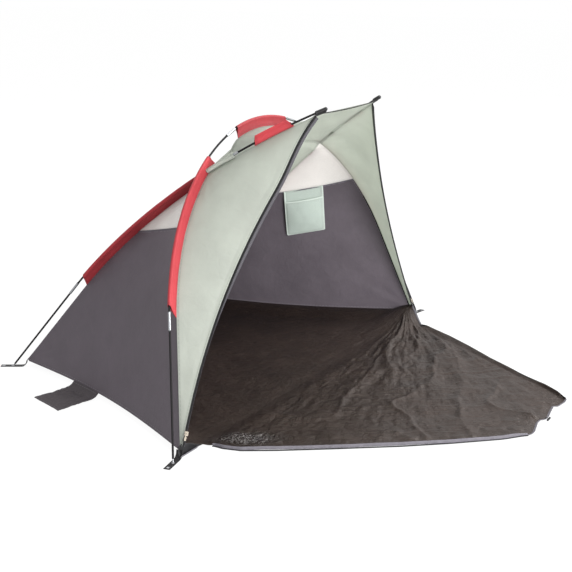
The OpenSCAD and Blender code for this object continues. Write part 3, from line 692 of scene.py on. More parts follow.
def sleeve_cloth(tints):
    """Red oxford cloth, heavier than the shell, with a coarser thread."""
    return coated_cloth(
        "polyester_oxford_red", tints.sleeve, 5.0, 0.58, through=0.04, fade=0.1, stitch=linear("#8e2f36")
    )


def window_mesh(tints):
    """Knitted polyester mesh: pale threads with holes of 1 mm, drawn at 3 mm so that they show."""
    return coated_cloth(
        "polyester_mesh_pale", tints.mesh, 3.0, 0.7, through=0.25, fade=0.04, crease=0.3, alpha=(0.7, 1.0)
    )


def sheer_cloth(tints):
    """Sheer woven polyester, which lets a fifth of what is behind it show."""
    return coated_cloth(
        "sheer_polyester", tints.sheer, 2.5, 0.6, through=0.15, fade=0.04, crease=0.4, alpha=(0.7, 0.9)
    )


def floor_cloth(tints):
    """Woven polyethylene sheet: flat tapes with a waxy shine, crinkled all over from being folded away."""
    made = blank("woven_polyethylene_black")
    if made is None:
        return bpy.data.materials["woven_polyethylene_black"]
    tree = made.node_tree
    weave = woven(tree, 5.0)[1]
    place = node(tree, "TexCoord", out="Object")
    # crinkles all over, 38 mm long, and longer ones that run out from the right front corner, where the
    # sheet is drawn up
    corner = (0.96, -0.55, 0)
    out = node(tree, "VectorMath", {0: place, 1: corner}, operation="SUBTRACT")
    axes = node(tree, "SeparateXYZ", {0: out}).node.outputs
    angle = node(tree, "Math", {0: axes["X"], 1: axes["Y"]}, operation="ARCTAN2")
    far = node(tree, "VectorMath", {0: out}, operation="LENGTH", out="Value")
    polar = node(tree, "CombineXYZ", {0: angle, 1: far})
    polar = node(tree, "VectorMath", {0: polar, 1: (0.8, 0.3, 0)}, operation="MULTIPLY")
    crinkle, streak = (
        node(
            tree, "TexNoise",
            {"Vector": where, "Scale": repeats(38), "Detail": 9.0, "Roughness": 0.68, "Distortion": bend},
        )
        for where, bend in ((place, 1.4), (polar, 0.8))
    )
    crumple = node(tree, "Mix", {0: 0.65, 2: crinkle, 3: streak})
    # flat facets of 29 mm between the crinkles
    facets = node(
        tree, "TexVoronoi", {"Vector": place, "Scale": repeats(29), "Randomness": 1.0}, feature="F1"
    )
    # dust in patches of 200 mm
    dust = node(
        tree, "TexNoise", {"Vector": place, "Scale": repeats(200), "Detail": 5.0, "Roughness": 0.65}
    )
    tone = node(tree, "MapRange", {0: dust, **NOISE_RANGE, 3: 0.78, 4: 1.25})
    painted = node(tree, "VectorMath", {0: tints.floor[:3], 3: tone}, operation="SCALE")
    big = node(tree, "Bump", {"Strength": 1.0, "Distance": 11 * MM, "Height": crumple})
    small = node(tree, "Bump", {"Strength": 0.35, "Distance": 5 * MM, "Height": facets, "Normal": big})
    threads = node(
        tree, "Bump", {"Strength": 0.2, "Distance": 0.4 * MM, "Height": weave, "Normal": small}
    )
    # it is crumpled hardest, in knots of 13 mm, and polished most where it is drawn in along the flap's left
    # edge, in a patch 360 mm long
    patch = node(
        tree, "Mapping",
        {"Vector": place, "Location": (-0.71, -0.69, 0), "Rotation": (0, 0, -1.02), "Scale": (0.18, 0.07, 1)},
        vector_type="TEXTURE",
    )
    apart = node(tree, "VectorMath", {0: patch}, operation="LENGTH", out="Value")
    pinch = node(tree, "MapRange", {0: apart, 1: 0.3, 2: 1.0, 3: 1.0, 4: 0.0})
    knots = node(
        tree, "TexNoise", {"Vector": place, "Scale": repeats(13.3), "Detail": 3.0, "Distortion": 0.6},
    )
    pinched = node(
        tree, "Bump", {"Strength": pinch, "Distance": 28 * MM, "Height": knots, "Normal": threads}
    )
    dull = node(tree, "MapRange", {0: dust, **NOISE_RANGE, 3: 0.36, 4: 0.52})
    gloss = node(tree, "Math", {0: pinch, 1: -0.3, 2: dull}, operation="MULTIPLY_ADD")
    body = node(
        tree,
        "BsdfPrincipled",
        {
            "Base Color": painted,
            "Roughness": gloss,
            "Normal": pinched,
            "Coat Weight": pinch,
            "Coat Roughness": 0.1,
            "Coat Normal": pinched,
            "IOR": 1.5,
            "Specular IOR Level": 0.33,
            "Specular Tint": (1.0, 0.92, 0.86, 1),
        },
    )
    node(tree, "OutputMaterial", {"Surface": body})
    return made


def ribbed_tape(name, tint, rib, rough, stitch=None):
    """Woven narrow tape: ribs across its length, drawn at the given millimetres, and a tight edge."""
    made = blank(name)
    if made is None:
        return bpy.data.materials[name]
    tree = made.node_tree
    uv = node(tree, "UVMap", uv_map="cloth")
    along = node(tree, "SeparateXYZ", {0: uv})
    turns = 2 * math.pi / (rib * MM)
    angle = node(tree, "Math", {0: along, 1: turns}, operation="MULTIPLY")
    ribs = node(tree, "Math", {0: angle}, operation="SINE")
    place = node(tree, "TexCoord", out="Object")
    # rubbed patches of 17 mm
    wear = node(tree, "TexNoise", {"Vector": place, "Scale": repeats(16.7), "Detail": 4.0})
    rib_tone = node(tree, "MapRange", {0: ribs, **WAVE_RANGE, 3: 0.82, 4: 1.12})
    wear_tone = node(tree, "MapRange", {0: wear, **NOISE_RANGE, 3: 0.85, 4: 1.2})
    tone = node(tree, "Math", {0: rib_tone, 1: wear_tone}, operation="MULTIPLY")
    painted = node(tree, "VectorMath", {0: tint[:3], 3: tone}, operation="SCALE")
    if stitch:
        # a stitch each 5 mm, in a row 3 mm inside each edge
        near = node(tree, "Attribute", attribute_name="edge_mm", out="Fac")
        row = node(tree, "Math", {0: near, 1: 3.0, 2: 0.8}, operation="COMPARE")
        dash = node(tree, "Math", {0: along, 1: 5 * MM}, operation="PINGPONG")
        dash = node(tree, "Math", {0: dash, 1: 2 * MM}, operation="GREATER_THAN")
        sewn = node(tree, "Math", {0: dash, 1: row}, operation="MULTIPLY")
        painted = node(tree, "Mix", {0: sewn, 6: painted, 7: (*stitch, 1)}, data_type="RGBA", out=2)
    ridge = node(tree, "Bump", {"Strength": 0.5, "Distance": 0.8 * MM, "Height": ribs})
    dull, shiny = rough + 0.08, rough - 0.08
    gloss = node(tree, "MapRange", {0: wear, **NOISE_RANGE, 3: shiny, 4: dull})
    body = node(
        tree, "BsdfPrincipled",
        {"Base Color": painted, "Roughness": gloss, "Normal": ridge, "Specular IOR Level": 0.35},
    )
    node(tree, "OutputMaterial", {"Surface": body})
    return made


def webbing(tints):
    """Black polypropylene webbing with a hard, slightly shiny rib."""
    return ribbed_tape("polypropylene_webbing", tints.webbing, 3.0, 0.5, stitch=linear("#3a393c"))


def zip_tape(tints):
    """Black knitted polyester zip tape."""
    return ribbed_tape("polyester_zip_tape", tints.webbing, 2.5, 0.7)


def edge_tape(tints):
    """Dark grey herringbone tape, folded over the zip's raw edge."""
    return ribbed_tape("polyester_herringbone", tints.edge, 6.0, 0.65)


def grosgrain(tints):
    """Grey grosgrain binding, folded over the edge and sewn through."""
    return ribbed_tape("polyester_grosgrain", tints.binding, 4.0, 0.6, stitch=linear("#8d8a90"))


def hard_finish(name, tint, rough, grain, metal=0.0, stretch=(1, 1, 1), ior=1.5):
    """A hard surface whose marks are a noise with a grain of so many millimetres, drawn out by stretch."""
    made = blank(name)
    if made is None:
        return bpy.data.materials[name]
    tree = made.node_tree
    place = node(tree, "TexCoord", out="Object")
    drawn = node(tree, "Mapping", {"Vector": place, "Scale": stretch})
    marks = node(
        tree, "TexNoise", {"Vector": drawn, "Scale": 1 / (grain * MM), "Detail": 4.0, "Roughness": 0.6},
    )
    tone = node(tree, "MapRange", {0: marks, **NOISE_RANGE, 3: 0.85, 4: 1.1})
    painted = node(tree, "VectorMath", {0: tint[:3], 3: tone}, operation="SCALE")
    dull, shiny = rough + 0.1, rough - 0.07
    gloss = node(tree, "MapRange", {0: marks, **NOISE_RANGE, 3: shiny, 4: dull})
    dents = node(tree, "Bump", {"Strength": 0.12, "Distance": 0.3 * MM, "Height": marks})
    body = node(
        tree, "BsdfPrincipled",
        {"Base Color": painted, "Roughness": gloss, "Normal": dents, "Metallic": metal, "IOR": ior},
    )
    node(tree, "OutputMaterial", {"Surface": body})
    return made


def paint_node(name, look):
    """Gives a CAD node that stays in view its material."""
    slots = NODES[name].data.materials
    slots.clear()
    slots.append(look)


# Operators


class ShelterOperator:
    """What every step of the build shares"""

    bl_options = {"REGISTER", "UNDO"}


def panel_values(context):
    """The lines that the cloth hangs on, the cloth's sizes and the colours, as the panel gives them."""
    scene = context.scene
    return Shell(scene.shelter_frame), scene.shelter_cloth, scene.shelter_colours


class SHELTER_OT_frame(ShelterOperator, bpy.types.Operator):
    """Finishes the poles, ferrules, cords, pins, rings, sliders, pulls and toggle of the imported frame"""

    bl_idname = "shelter.frame"
    bl_label = "Frame Finishes"

    def execute(self, context):
        tints = context.scene.shelter_colours
        # zinc-plated wire pins and pressed rings
        plated = hard_finish("zinc_plated_steel", tints.steel, rough=0.36, grain=2.0, metal=1.0)
        # die-cast zinc with a warm lacquer
        cast = hard_finish("zinc_die_cast", tints.pull, rough=0.34, grain=1.5, metal=1.0)
        looks = {
            # pultruded rod: glass fibres run along it under a thin black resin skin
            "_section_": hard_finish("fibreglass_rod_black", tints.pole, rough=0.55, grain=6.0, ior=1.2),
            # drawn steel tube, plated, with fine marks round it
            "ferrules": hard_finish(
                "plated_steel_tube", tints.steel, rough=0.32, grain=1.6, metal=1.0, stretch=(1, 1, 4)
            ),
            # braided cover over rubber, pale
            "shock_cord": hard_finish(
                "braided_shock_cord", linear("#d8d6d0"), rough=0.75, grain=1.2, stretch=(1, 1, 2)
            ),
            "foot_pins": plated,
            "pin_grommets": plated,
            "peg_eyelets": plated,
            "slider": cast,
            "pull": cast,
            # moulded acetal with a fine matt texture
            "flap_toggle": hard_finish("moulded_acetal_black", tints.webbing, rough=0.6, grain=1.0, ior=1.3),
        }
        for name in NODES:
            for word, look in looks.items():
                if word in name:
                    paint_node(name, look)
        return {"FINISHED"}


# Sleeves, in millimetres
SLEEVE_THICK = 0.7
# room between a pole's tunnel and the cloth's middle, and how far short of its seam a raw edge stops
SLACK, RAW_EDGE = 0.6, 0.4
# ends of the lower hoop sleeves along the hoop, and foot of the rear sleeves along the roof pole
HOOP_SLEEVE = (536, 1192)
REAR_SLEEVE_FOOT = 600
# rear end of the front sleeves, back from the roof pole's end, and their length
FRONT_SLEEVE_SET, FRONT_SLEEVE_LENGTH = 304, 168
# how far the left and the right front sleeve stand past their pole
FRONT_SLEEVE_FOLD = (32, 9)
# distance from the hoop's plane at which the cloth on a roof pole ends
HOOP_GAP = 2.2
TUNNEL_LENGTH, TUNNEL_ROWS = 124, 50


def fold_profile(fold, deep, radius):
    """Half of a sleeve's outline, from its fold to its raw edge, as (inset, lift) in millimetres."""
    flat = SLEEVE_THICK
    if fold > radius:
        insets = np.linspace(-fold, deep, 22)
        round_pole = (radius - flat) * np.exp(-((insets / 9) ** 2))
        slack = 1.6 * ease((insets + fold) / 8) * ease(1 - insets / deep)
        return [(a, flat * ease((a + fold) / 2) + b + c) for a, b, c in zip(insets, round_pole, slack)]
    turns = np.linspace(0, math.radians(108), 9)
    arc = [(-radius * math.cos(a), radius * math.sin(a)) for a in turns]
    a1, b1 = arc[-1]
    rest = np.linspace(0, 1, 12)[1:]
    return arc + [(mix(a1, deep, k), flat + (b1 - flat) * (1 - k) ** 2.6) for k in rest]


def sleeve_grid(at, out, start, end, radius, depth, fold=0.0, rows=90, seed=1, pucker=1.0):
    """A strip of cloth folded round a pole: rows along it, and columns from one raw edge over the fold to
    the other. start and end give the place along the pole for each inset, and depth the raw edges' inset."""
    count = len(fold_profile(fold, depth(mix(start(0), end(0), 0.5)), radius))
    grid = np.zeros((rows + 1, 2 * count - 1, 3))
    for i, t in enumerate(np.linspace(0, 1, rows + 1)):
        half = fold_profile(fold, depth(mix(start(0), end(0), t)), radius)
        loop = [(a, -b) for a, b in half[:0:-1]] + half
        for j, (a, b) in enumerate(loop):
            s = mix(start(a), end(a), t)
            share = np.clip(a / 38, 0, 1)
            ruck = pucker * (0.3 + 1.4 * share * (1 - 0.6 * share))
            b += ruck * float(noise(s / 26, a / 18, seed))
            grid[i, j] = at(s, a) + out * b
    return grid


def meets_hoop(shell, gap):
    """For each inset from a roof pole, the place along it that lies gap in front of the hoop's plane."""
    base = shell.hoop_at(0)

    def place(inset):
        low, high = shell.roof_cross - 150, shell.roof_cross + 150
        for _ in range(40):
            s = (low + high) / 2
            ahead = (shell.roof_at(s, inset) - base) @ shell.hoop_out
            low, high = (s, high) if ahead < gap else (low, s)
        return s

    table = {a: place(a) for a in range(-60, 61, 4)}
    return lambda inset: float(np.interp(inset, list(table), list(table.values())))


class SHELTER_OT_sleeves(ShelterOperator, bpy.types.Operator):
    """Sews the seven pole sleeves: strips of cloth folded round the poles, their raw edges in the seams"""

    bl_idname = "shelter.sleeves"
    bl_label = "Pole Sleeves"

    def execute(self, context):
        shell, trim, tints = panel_values(context)
        look = sleeve_cloth(tints)
        radius = trim.sleeve_bore / MM / 2 + SLACK
        front = shell.roof_len - FRONT_SLEEVE_SET
        hoop, roof = (shell.hoop_at, shell.hoop_out), (shell.roof_at, shell.roof_out)

        def to_seam(s):
            return shell.seam_set - RAW_EDGE

        def to_front_seam(s):
            return shell.front_set - RAW_EDGE

        def front_sleeve(fold):
            return sleeve_grid(
                *roof, lambda a: front + 0.5 * (shell.front_set - a),
                lambda a: front + FRONT_SLEEVE_LENGTH - 0.35 * (shell.front_set - a), radius,
                to_front_seam, fold=fold, seed=7, pucker=0.6,
            )

        # the ends are cut as the photograph shows them: aslant at the foot, upright at the top and the front
        hoop_sleeve = sleeve_grid(
            *hoop, lambda a: HOOP_SLEEVE[0] - a, lambda a: HOOP_SLEEVE[1] + 0.4 * a, radius, to_seam, seed=3
        )
        rear_sleeve = sleeve_grid(
            *roof, lambda a: REAR_SLEEVE_FOOT - a, meets_hoop(shell, -HOOP_GAP), radius, shell.seam_depth,
            rows=130, seed=5,
        )
        # the left front sleeve stands up from its pole and the right one lies down over it
        left_front, right_front = (front_sleeve(fold) for fold in FRONT_SLEEVE_FOLD)
        made = {
            "hoop_sleeve": (hoop_sleeve, hoop_sleeve, "hoop_section_2"),
            "rear_sleeve": (rear_sleeve, rear_sleeve, "{}_roof_section_2"),
            "front_sleeve": (left_front, right_front, "{}_roof_section_4"),
        }
        for part, (left, right, pole) in made.items():
            for side, grid in (("left", left), ("right", mirrored(right))):
                hang(
                    f"{side}_{part}_cloth", grid, SLEEVE_THICK, look, "sleeve_cloth", f"{side}_{part}",
                    held="stretched", rests_on=[pole.format(side)],
                )
        top = sleeve_grid(
            *hoop, lambda a: shell.top_from + 10 - 0.4 * a,
            lambda a: shell.hoop_len - shell.top_from + 0.4 * a, radius, to_seam, seed=9,
        )
        hang(
            "top_hoop_sleeve_cloth", top, SLEEVE_THICK, look, "sleeve_cloth", "top_hoop_sleeve",
            held="stretched", rests_on=["hoop_section_4"],
        )
        # pale cloth gathered over each roof pole where it comes through the hoop's band
        tunnel_end = shell.roof_cross + TUNNEL_LENGTH
        tunnel = sleeve_grid(
            *roof, meets_hoop(shell, HOOP_GAP), lambda a: tunnel_end, radius + 1, to_front_seam,
            rows=TUNNEL_ROWS, seed=13,
        )
        along = np.linspace(0, 1, TUNNEL_ROWS + 1)
        flare = ease((along - 0.55) / 0.45)[:, None]
        turns = np.linspace(0, 2 * math.pi, tunnel.shape[1])[None]
        spread = 1 + flare * (0.35 + 0.3 * np.cos(7 * turns + 2.5 * noise(turns, flare * 3, 14)))
        axis = np.array([shell.roof_at(mix(shell.roof_cross, tunnel_end, t)) for t in along])[:, None]
        tunnel = axis + (tunnel - axis) * spread[..., None]
        for side in SIDES:
            hang(
                f"{side}_pole_tunnel_cloth", sheet_on(side, tunnel), SLEEVE_THICK, panel_cloth(tints),
                "panel_cloth", held="gathered", rests_on=[f"{side}_roof_section_3"],
            )
        return {"FINISHED"}


def billow(grid, height):
    """Moves a sheet along its normals by height millimetres, and leaves its edges in their seams."""
    hold = ease(edge_distance(grid) / 45)
    return grid + normals(grid) * (height * hold)[..., None]


def fan(grid, corner, count, reach):
    """Tension folds, from -1 to 1, that spread from one corner of a sheet: its (row, column) share."""
    u, v = spans(grid)
    x = u - corner[0] * u[-1:]
    y = v - corner[1] * v[:, -1:]
    far = np.hypot(x, y)
    angle = np.arctan2(np.abs(y), np.abs(x) + 1e-6)
    wave = np.sin(count * angle + 1.3 * noise(far / 160, angle * 4, 21))
    return wave * np.exp(-far / reach) * ease(far / 60)


def crumple(grid, spacing, seed):
    """Soft irregular dents over a sheet, from about -1 to 1."""
    u, v = spans(grid)
    wide = noise(u / spacing, v / spacing, seed)
    fine = noise(u / spacing * 2.3 + 9, v / spacing * 2.3, seed + 1)
    return 0.7 * wide + 0.3 * fine


def seam_tape(name, line, tints):
    """Grey binding over a seam, which stands as the cloth does."""
    run = np.gradient(line, axis=0)
    return sew(name, line, np.cross(np.cross(run, UP), run), band(*SEAM_TAPE), grosgrain(tints), "webbing")


class SHELTER_OT_walls(ShelterOperator, bpy.types.Operator):
    """Hangs the grey walls and the mesh windows above them"""

    bl_idname = "shelter.walls"
    bl_label = "Walls and Windows"

    def execute(self, context):
        shell, trim, tints = panel_values(context)
        thick, wrinkle = trim.thick / MM, trim.wrinkle / MM
        # black tape just inside the hoop's seam, from the corner to where the sleeve hides it
        steps = np.linspace(shell.corner_set + 4, shell.hoop_cross * 0.62, 90)
        near, far = (
            np.array([shell.hoop_at(s, shell.seam_set + inset) for s in steps]) for inset in (1.5, 2.5)
        )
        inward = far - near
        for side in SIDES:
            seam_at = WINDOW_SEAM[side]
            wall = shell.side_sheet(110, 110, 0, seam_at)
            folds = 0.5 * fan(wall, (1, 0), count=9, reach=260)
            folds += 0.6 * fan(wall, (0, 0), count=11, reach=220)
            wall = billow(wall, wrinkle * (folds + 0.8 * crumple(wall, 190, 31)))
            window = shell.side_sheet(100, 50, seam_at, 1)
            seam = window[:, 0]
            window = billow(window, wrinkle * 0.5 * crumple(window, 90, 33))
            for part, grid, look, slot in (
                ("wall", wall, wall_cloth(tints), "wall_cloth"),
                ("mesh_window", window, window_mesh(tints), "window_mesh"),
            ):
                hang(
                    f"{side}_{part}_cloth", sheet_on(side, grid), thick, look, slot, f"{side}_{part}",
                    held="stretched", rests_on=["hoop_section_1", f"{side}_roof_section_1"],
                )
            sew(
                f"{side}_hoop_seam_tape", line_on(side, near + inward * 1.5), line_on(side, inward),
                band(*HOOP_TAPE), zip_tape(tints), "webbing",
            )
            seam_tape(f"{side}_window_seam", line_on(side, seam), tints)
        return {"FINISHED"}


class SHELTER_OT_front_panels(ShelterOperator, bpy.types.Operator):
    """Hangs the two pale front panels between the hoop and the front edges"""

    bl_idname = "shelter.front_panels"
    bl_label = "Front Panels"

    def execute(self, context):
        shell, trim, tints = panel_values(context)
        lap = 4.5  # how far the panel's edge lies past the zip's line

        def top(u):
            seam = shell.roof_seam(mix(shell.roof_cross, shell.edge_end, u))
            return mix(seam, shell.edge_at(1, lap), ease(u * 8 - 7))

        grid = coons(
            lambda v: shell.hoop_seam(mix(shell.corner_set, shell.hoop_cross, v)),
            lambda v: shell.edge_at(v, lap),
            lambda u: mix(shell.hoop_seam(shell.corner_set), shell.edge_at(0, lap), u), top, 90, 150,
        )
        gather = fan(grid, (0, 1), count=26, reach=90)
        draw = fan(grid, (0, 0), count=7, reach=320)
        grid = billow(grid, trim.wrinkle / MM * (0.8 * gather + 0.8 * draw + 0.7 * crumple(grid, 130, 41)))
        for side in SIDES:
            hang(
                f"{side}_front_panel_cloth", sheet_on(side, grid), trim.thick / MM, panel_cloth(tints),
                "panel_cloth", f"{side}_front_panel", held="stretched",
                rests_on=["hoop_section_2", f"{side}_roof_section_4"],
            )
        return {"FINISHED"}


class SHELTER_OT_roof(ShelterOperator, bpy.types.Operator):
    """Hangs the roof panel, the back panel and the back wall"""

    bl_idname = "shelter.roof"
    bl_label = "Roof and Back"

    def execute(self, context):
        shell, trim, tints = panel_values(context)
        nu, sag = 150, 26  # columns across, and how far the roof hangs through

        def roof_side(v):
            return shell.roof_seam(mix(shell.roof_cross, shell.tip_seam, v))

        def creased(grid, row, share, count, reach, spacing, seed):
            """Folds from both ends of one row of a sheet, and soft dents all over."""
            folds = fan(grid, (0, row), count, reach) + fan(grid, (1, row), count, reach)
            return billow(grid, trim.wrinkle / MM * (share * folds + 0.7 * crumple(grid, spacing, seed)))

        roof = coons(
            roof_side, lambda v: flip(roof_side(v)), shell.ridge,
            lambda u: mix(roof_side(1), flip(roof_side(1)), u), nu, 80,
        )
        across, along = (np.sin(math.pi * np.linspace(0, 1, count)) for count in roof.shape[:2])
        roof[..., 2] -= sag * across[:, None] * np.abs(along[None]) ** 0.7
        roof = creased(roof, 0, share=0.6, count=22, reach=90, spacing=120, seed=51)
        wall = shell.back_sheet(nu, 90, 0, BACK_SEAM)
        wall = creased(wall, 0, share=1.5, count=15, reach=260, spacing=160, seed=53)
        panel = shell.back_sheet(nu, 60, BACK_SEAM, 1)
        seam = panel[:, 0]
        panel = creased(panel, 1, share=1.4, count=26, reach=90, spacing=130, seed=55)
        for name, grid, look, slot in (
            ("roof_panel", roof, panel_cloth(tints), "panel_cloth"),
            ("back_panel", panel, panel_cloth(tints), "panel_cloth"),
            ("back_wall", wall, wall_cloth(tints), "wall_cloth"),
        ):
            hang(
                f"{name}_cloth", grid, trim.thick / MM, look, slot, name, held="stretched",
                rests_on=["left_roof_section_2", "right_roof_section_2", "hoop_section_4"],
            )
        seam_tape("back_seam", seam, tints)
        return {"FINISHED"}


# height of the floor cloth's middle above the ground
CLEAR = 0.4


def sill_rise(x):
    """Height of the sill, which is drawn up to the foot of the zip at each end, more gently at the right."""
    return np.where(x > 0, 54 * ease((x - 480) / 470) ** 1.5, 50 * ease((-x - 800) / 150))


class SHELTER_OT_groundsheet(ShelterOperator, bpy.types.Operator):
    """Lays the sewn-in floor, creased from folding and turned up at its sides and rear"""

    bl_idname = "shelter.groundsheet"
    bl_label = "Groundsheet"

    def execute(self, context):
        shell, trim, tints = panel_values(context)
        across, deep = np.linspace(-1, 1, 161), np.linspace(0, 1, 121)
        grid = np.zeros((len(across), len(deep), 3))
        for j, t in enumerate(deep):
            side = shell.hem(t)
            rise = side[2] * ease((np.abs(across) - 0.8) / 0.2) * ease(t / 0.08)
            rear = (shell.corner_lift - 1) * ease((t - 0.88) / 0.12)
            grid[:, j, 0] = -side[0] * across
            grid[:, j, 1] = mix(shell.sill, shell.hem_rear[1], t)
            sill = sill_rise(grid[:, j, 0]) * (1 - ease(t / 0.16))
            grid[:, j, 2] = CLEAR + np.maximum(np.maximum(rise, rear), sill)
        u, v = spans(grid)
        lines = np.abs(noise(u / 170 + 0.25 * noise(u / 60, v / 60, 61), v / 240, 62)) ** 0.7
        dents = 0.5 + 0.5 * noise(u / 55, v / 70, 63)
        hold = ease(edge_distance(grid) / 60)
        grid[..., 2] += trim.floor_crease / MM * hold * (0.9 * lines + 0.5 * dents)
        hang(
            "groundsheet_cloth", grid, trim.thick / MM, floor_cloth(tints), "floor_sheet", "groundsheet",
            held="laid", rests_on=["floor"],
        )
        line = np.array([shell.hem(t) for t in np.linspace(0.01, 0.99, 80)])
        corner = shell.hem(1)
        rear = np.array([mix(corner, flip(corner), t) for t in np.linspace(0.005, 0.995, 60)])
        for place, edge in (("left", line), ("right", flip(line)), ("rear", rear)):
            sew(f"{place}_floor_hem", edge, UP, band(*FLOOR_HEM), wall_cloth(tints), "wall_cloth")
        return {"FINISHED"}


class Flap:
    """The front flap as it lies, in millimetres: u runs from its left edge to its right, and t out from the
    sill."""

    # distance out from the sill, and how far the left and right edges lie from the middle there
    left_line = (
        (0, -945), (9, -830), (47, -812), (84, -812), (148, -793), (254, -726), (416, -611), (622, -459),
        (766, -341), (909, -212), (1000, -128),
    )
    right_line = (
        (0, 944), (60, 880), (114, 823), (214, 763), (309, 715), (440, 634), (575, 537), (750, 433),
        (885, 357), (1000, 282),
    )
    # the end's steps: how far in each share of it lies
    end_line = (
        (0, 18), (0.02, 11), (0.05, 8), (0.1, 8), (0.3, 25), (0.38, 24), (0.42, 10), (0.5, 9), (0.6, 16),
        (0.76, 25), (0.79, 8), (0.92, 0), (1, 4),
    )
    # the corner that the folds fan out from: across, and in behind the sill
    fan_corner = (960, 30)
    # run out from the sill in which the flap bends when it is folded up
    bend_run = (2, 70)

    def __init__(self, shell, trim):
        self.shell = shell
        self.length, self.fold = trim.flap_length / MM, trim.flap_fold / MM

    def height(self, x, out):
        """Folds that fan out from the right corner, streaks along the outer part and crumple all over."""
        dx, dy = self.fan_corner[0] - x, out + self.fan_corner[1]
        far, angle = np.hypot(dx, dy), np.arctan2(dy, dx)
        warp = 0.5 * noise(far / 260, angle * 4, 71) + 0.16 * noise(far / 80, angle * 12, 72)
        ribs = 1 - np.abs(np.sin((angle + warp * 0.22) * 8.5 + 0.4))
        thin = 1 - np.abs(noise(angle * 21 + 1.2 * warp, far / 300, 73)) * 1.8
        near = np.exp(-far / 520) * ease(far / 150)
        along, over = 0.55 * x + 0.83 * out, 0.83 * x - 0.55 * out
        bent = over + 26 * noise(along / 190, over / 160, 79)
        turned = angle + 0.1 * noise(far / 170, angle * 5, 81)
        streaks = 0.5 * np.abs(noise(along / 330, bent / 34, 76))
        streaks += 0.4 * np.abs(noise(along / 150, bent / 13, 80))
        streaks += 1.3 * (1 - np.abs(noise(far / 420, turned * 11, 82))) ** 3
        fine = np.abs(noise(far / 80, angle * 26, 74)) + 0.5 * np.abs(noise(far / 34, angle * 58, 75))
        fine += 0.4 * np.abs(noise(x / 24, out / 19, 70))
        calm = ease((far - 250) / 350)
        folds = self.fold * (1.6 * ribs**1.5 + 0.6 * thin) * near
        return folds + 7 * streaks * calm + mix(6.5, 4.0, calm) * fine

    def grid(self, nu, nv):
        u = np.linspace(0, 1, nu + 1)[:, None]
        t = (np.linspace(0, 1, nv + 1)[None, :]) ** 1.25
        out = self.length * t
        x = mix(np.interp(out, *zip(*self.left_line)), np.interp(out, *zip(*self.right_line)), u)
        out = out - np.interp(u, *zip(*self.end_line)) * ease((t - 0.9) / 0.1)
        calm = ease(out / self.bend_run[1]) * ease(u * 16) * ease((1 - u) * 16) * ease((1 - t) * 16)
        reach = mix(60, 330, ease(x / 800)) * mix(1, 0.36, ease((u - 0.7) / 0.3))
        rise = sill_rise(x) * (1 - ease(out / reach))
        # the stiff edges stand up a little from the ground
        left_lip = 13 * ease(1 - u * 40) * ease((out - 20) / 60)
        right_lip = 14 * ease((u - 1) * 40 + 1) * ease((out - 110) / 50)
        sway = 1 + 0.3 * noise(t * 9, u * 2, 77)
        lip = (left_lip + right_lip) * sway * (1 - ease(t * 20 - 19))
        z = CLEAR + calm * self.height(x, out) + rise + lip
        return np.stack([x, self.shell.sill - 0.5 - out, z], -1)


def bind_flap(grid, tints):
    """Sews the bindings round the flap and a black strip along the ground under its left edge."""
    # columns of the grid at which the left binding begins, the right one begins and the corner's tape ends
    left_from, right_from, corner_to = 14, 34, 36
    # each edge, its tape, how upright that stands and its width: the grey binding hangs down to the ground on
    # the left and lies flat on the end, and the right edge shows the black half of the zip
    edges = {
        "left": (grid[0, left_from:], grosgrain(tints), 1.0, 13),
        "corner": (grid[-1, 1:corner_to], edge_tape(tints), 0.3, 12),
        "right": (grid[-1, right_from:], zip_tape(tints), 1.0, 15),
        "end": (grid[:, -1], grosgrain(tints), 0.35, 12),
    }
    for side, (edge, look, upright, width) in edges.items():
        out = unit(np.cross(np.gradient(edge, axis=0), UP if side == "left" else -UP))
        lean = out * mix(1.0, 0.3, upright) - UP * upright
        line = edge + out * 0.8 + UP * 1.2
        if upright == 1.0:
            line[:, 2] = np.maximum(line[:, 2] / 2, 1) + 1.2
        nodes = ("flap_zip_tapes",) if side == "left" else ()
        hem = sew(f"flap_{side}_binding", line, lean, band(width, 2.0), look, "zip_tape", *nodes, body=None)
        if side == "end":
            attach(hem, "front_flap")
        else:
            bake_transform(hem)
    # a black strip on the ground just outside the left edge, under its binding
    under = edges["left"][0] * [1, 1, 0] + UP * 1.6
    out = unit(np.cross(np.gradient(under, axis=0), UP))
    outline = band(*FLAP_GROUND_STRIP)
    tape = sew("flap_left_tape", under + out * 5, out, outline, zip_tape(tints), "zip_tape", body=None)
    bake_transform(tape)


def hold_toggle(grid, tints):
    """Ties the toggle to the flap's end with a short loop of cord."""
    low, high = (np.array(corner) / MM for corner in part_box("flap_toggle"))
    toggle = (low + high) / 2
    nearest = np.argmin(np.linalg.norm(grid[:, -1] - toggle, axis=1))
    steps = np.linspace(0, 1, 24)[:, None]
    line = mix(grid[nearest, -1] + np.array([0, 4, 1.5]), toggle, steps)
    line[:, 2] += 4 * np.sin(math.pi * steps[:, 0])
    across = np.array([1.0, 0.2, 0])
    sew("toggle_loop", line, across, rope(1.3), webbing(tints), "webbing", body="front_flap")


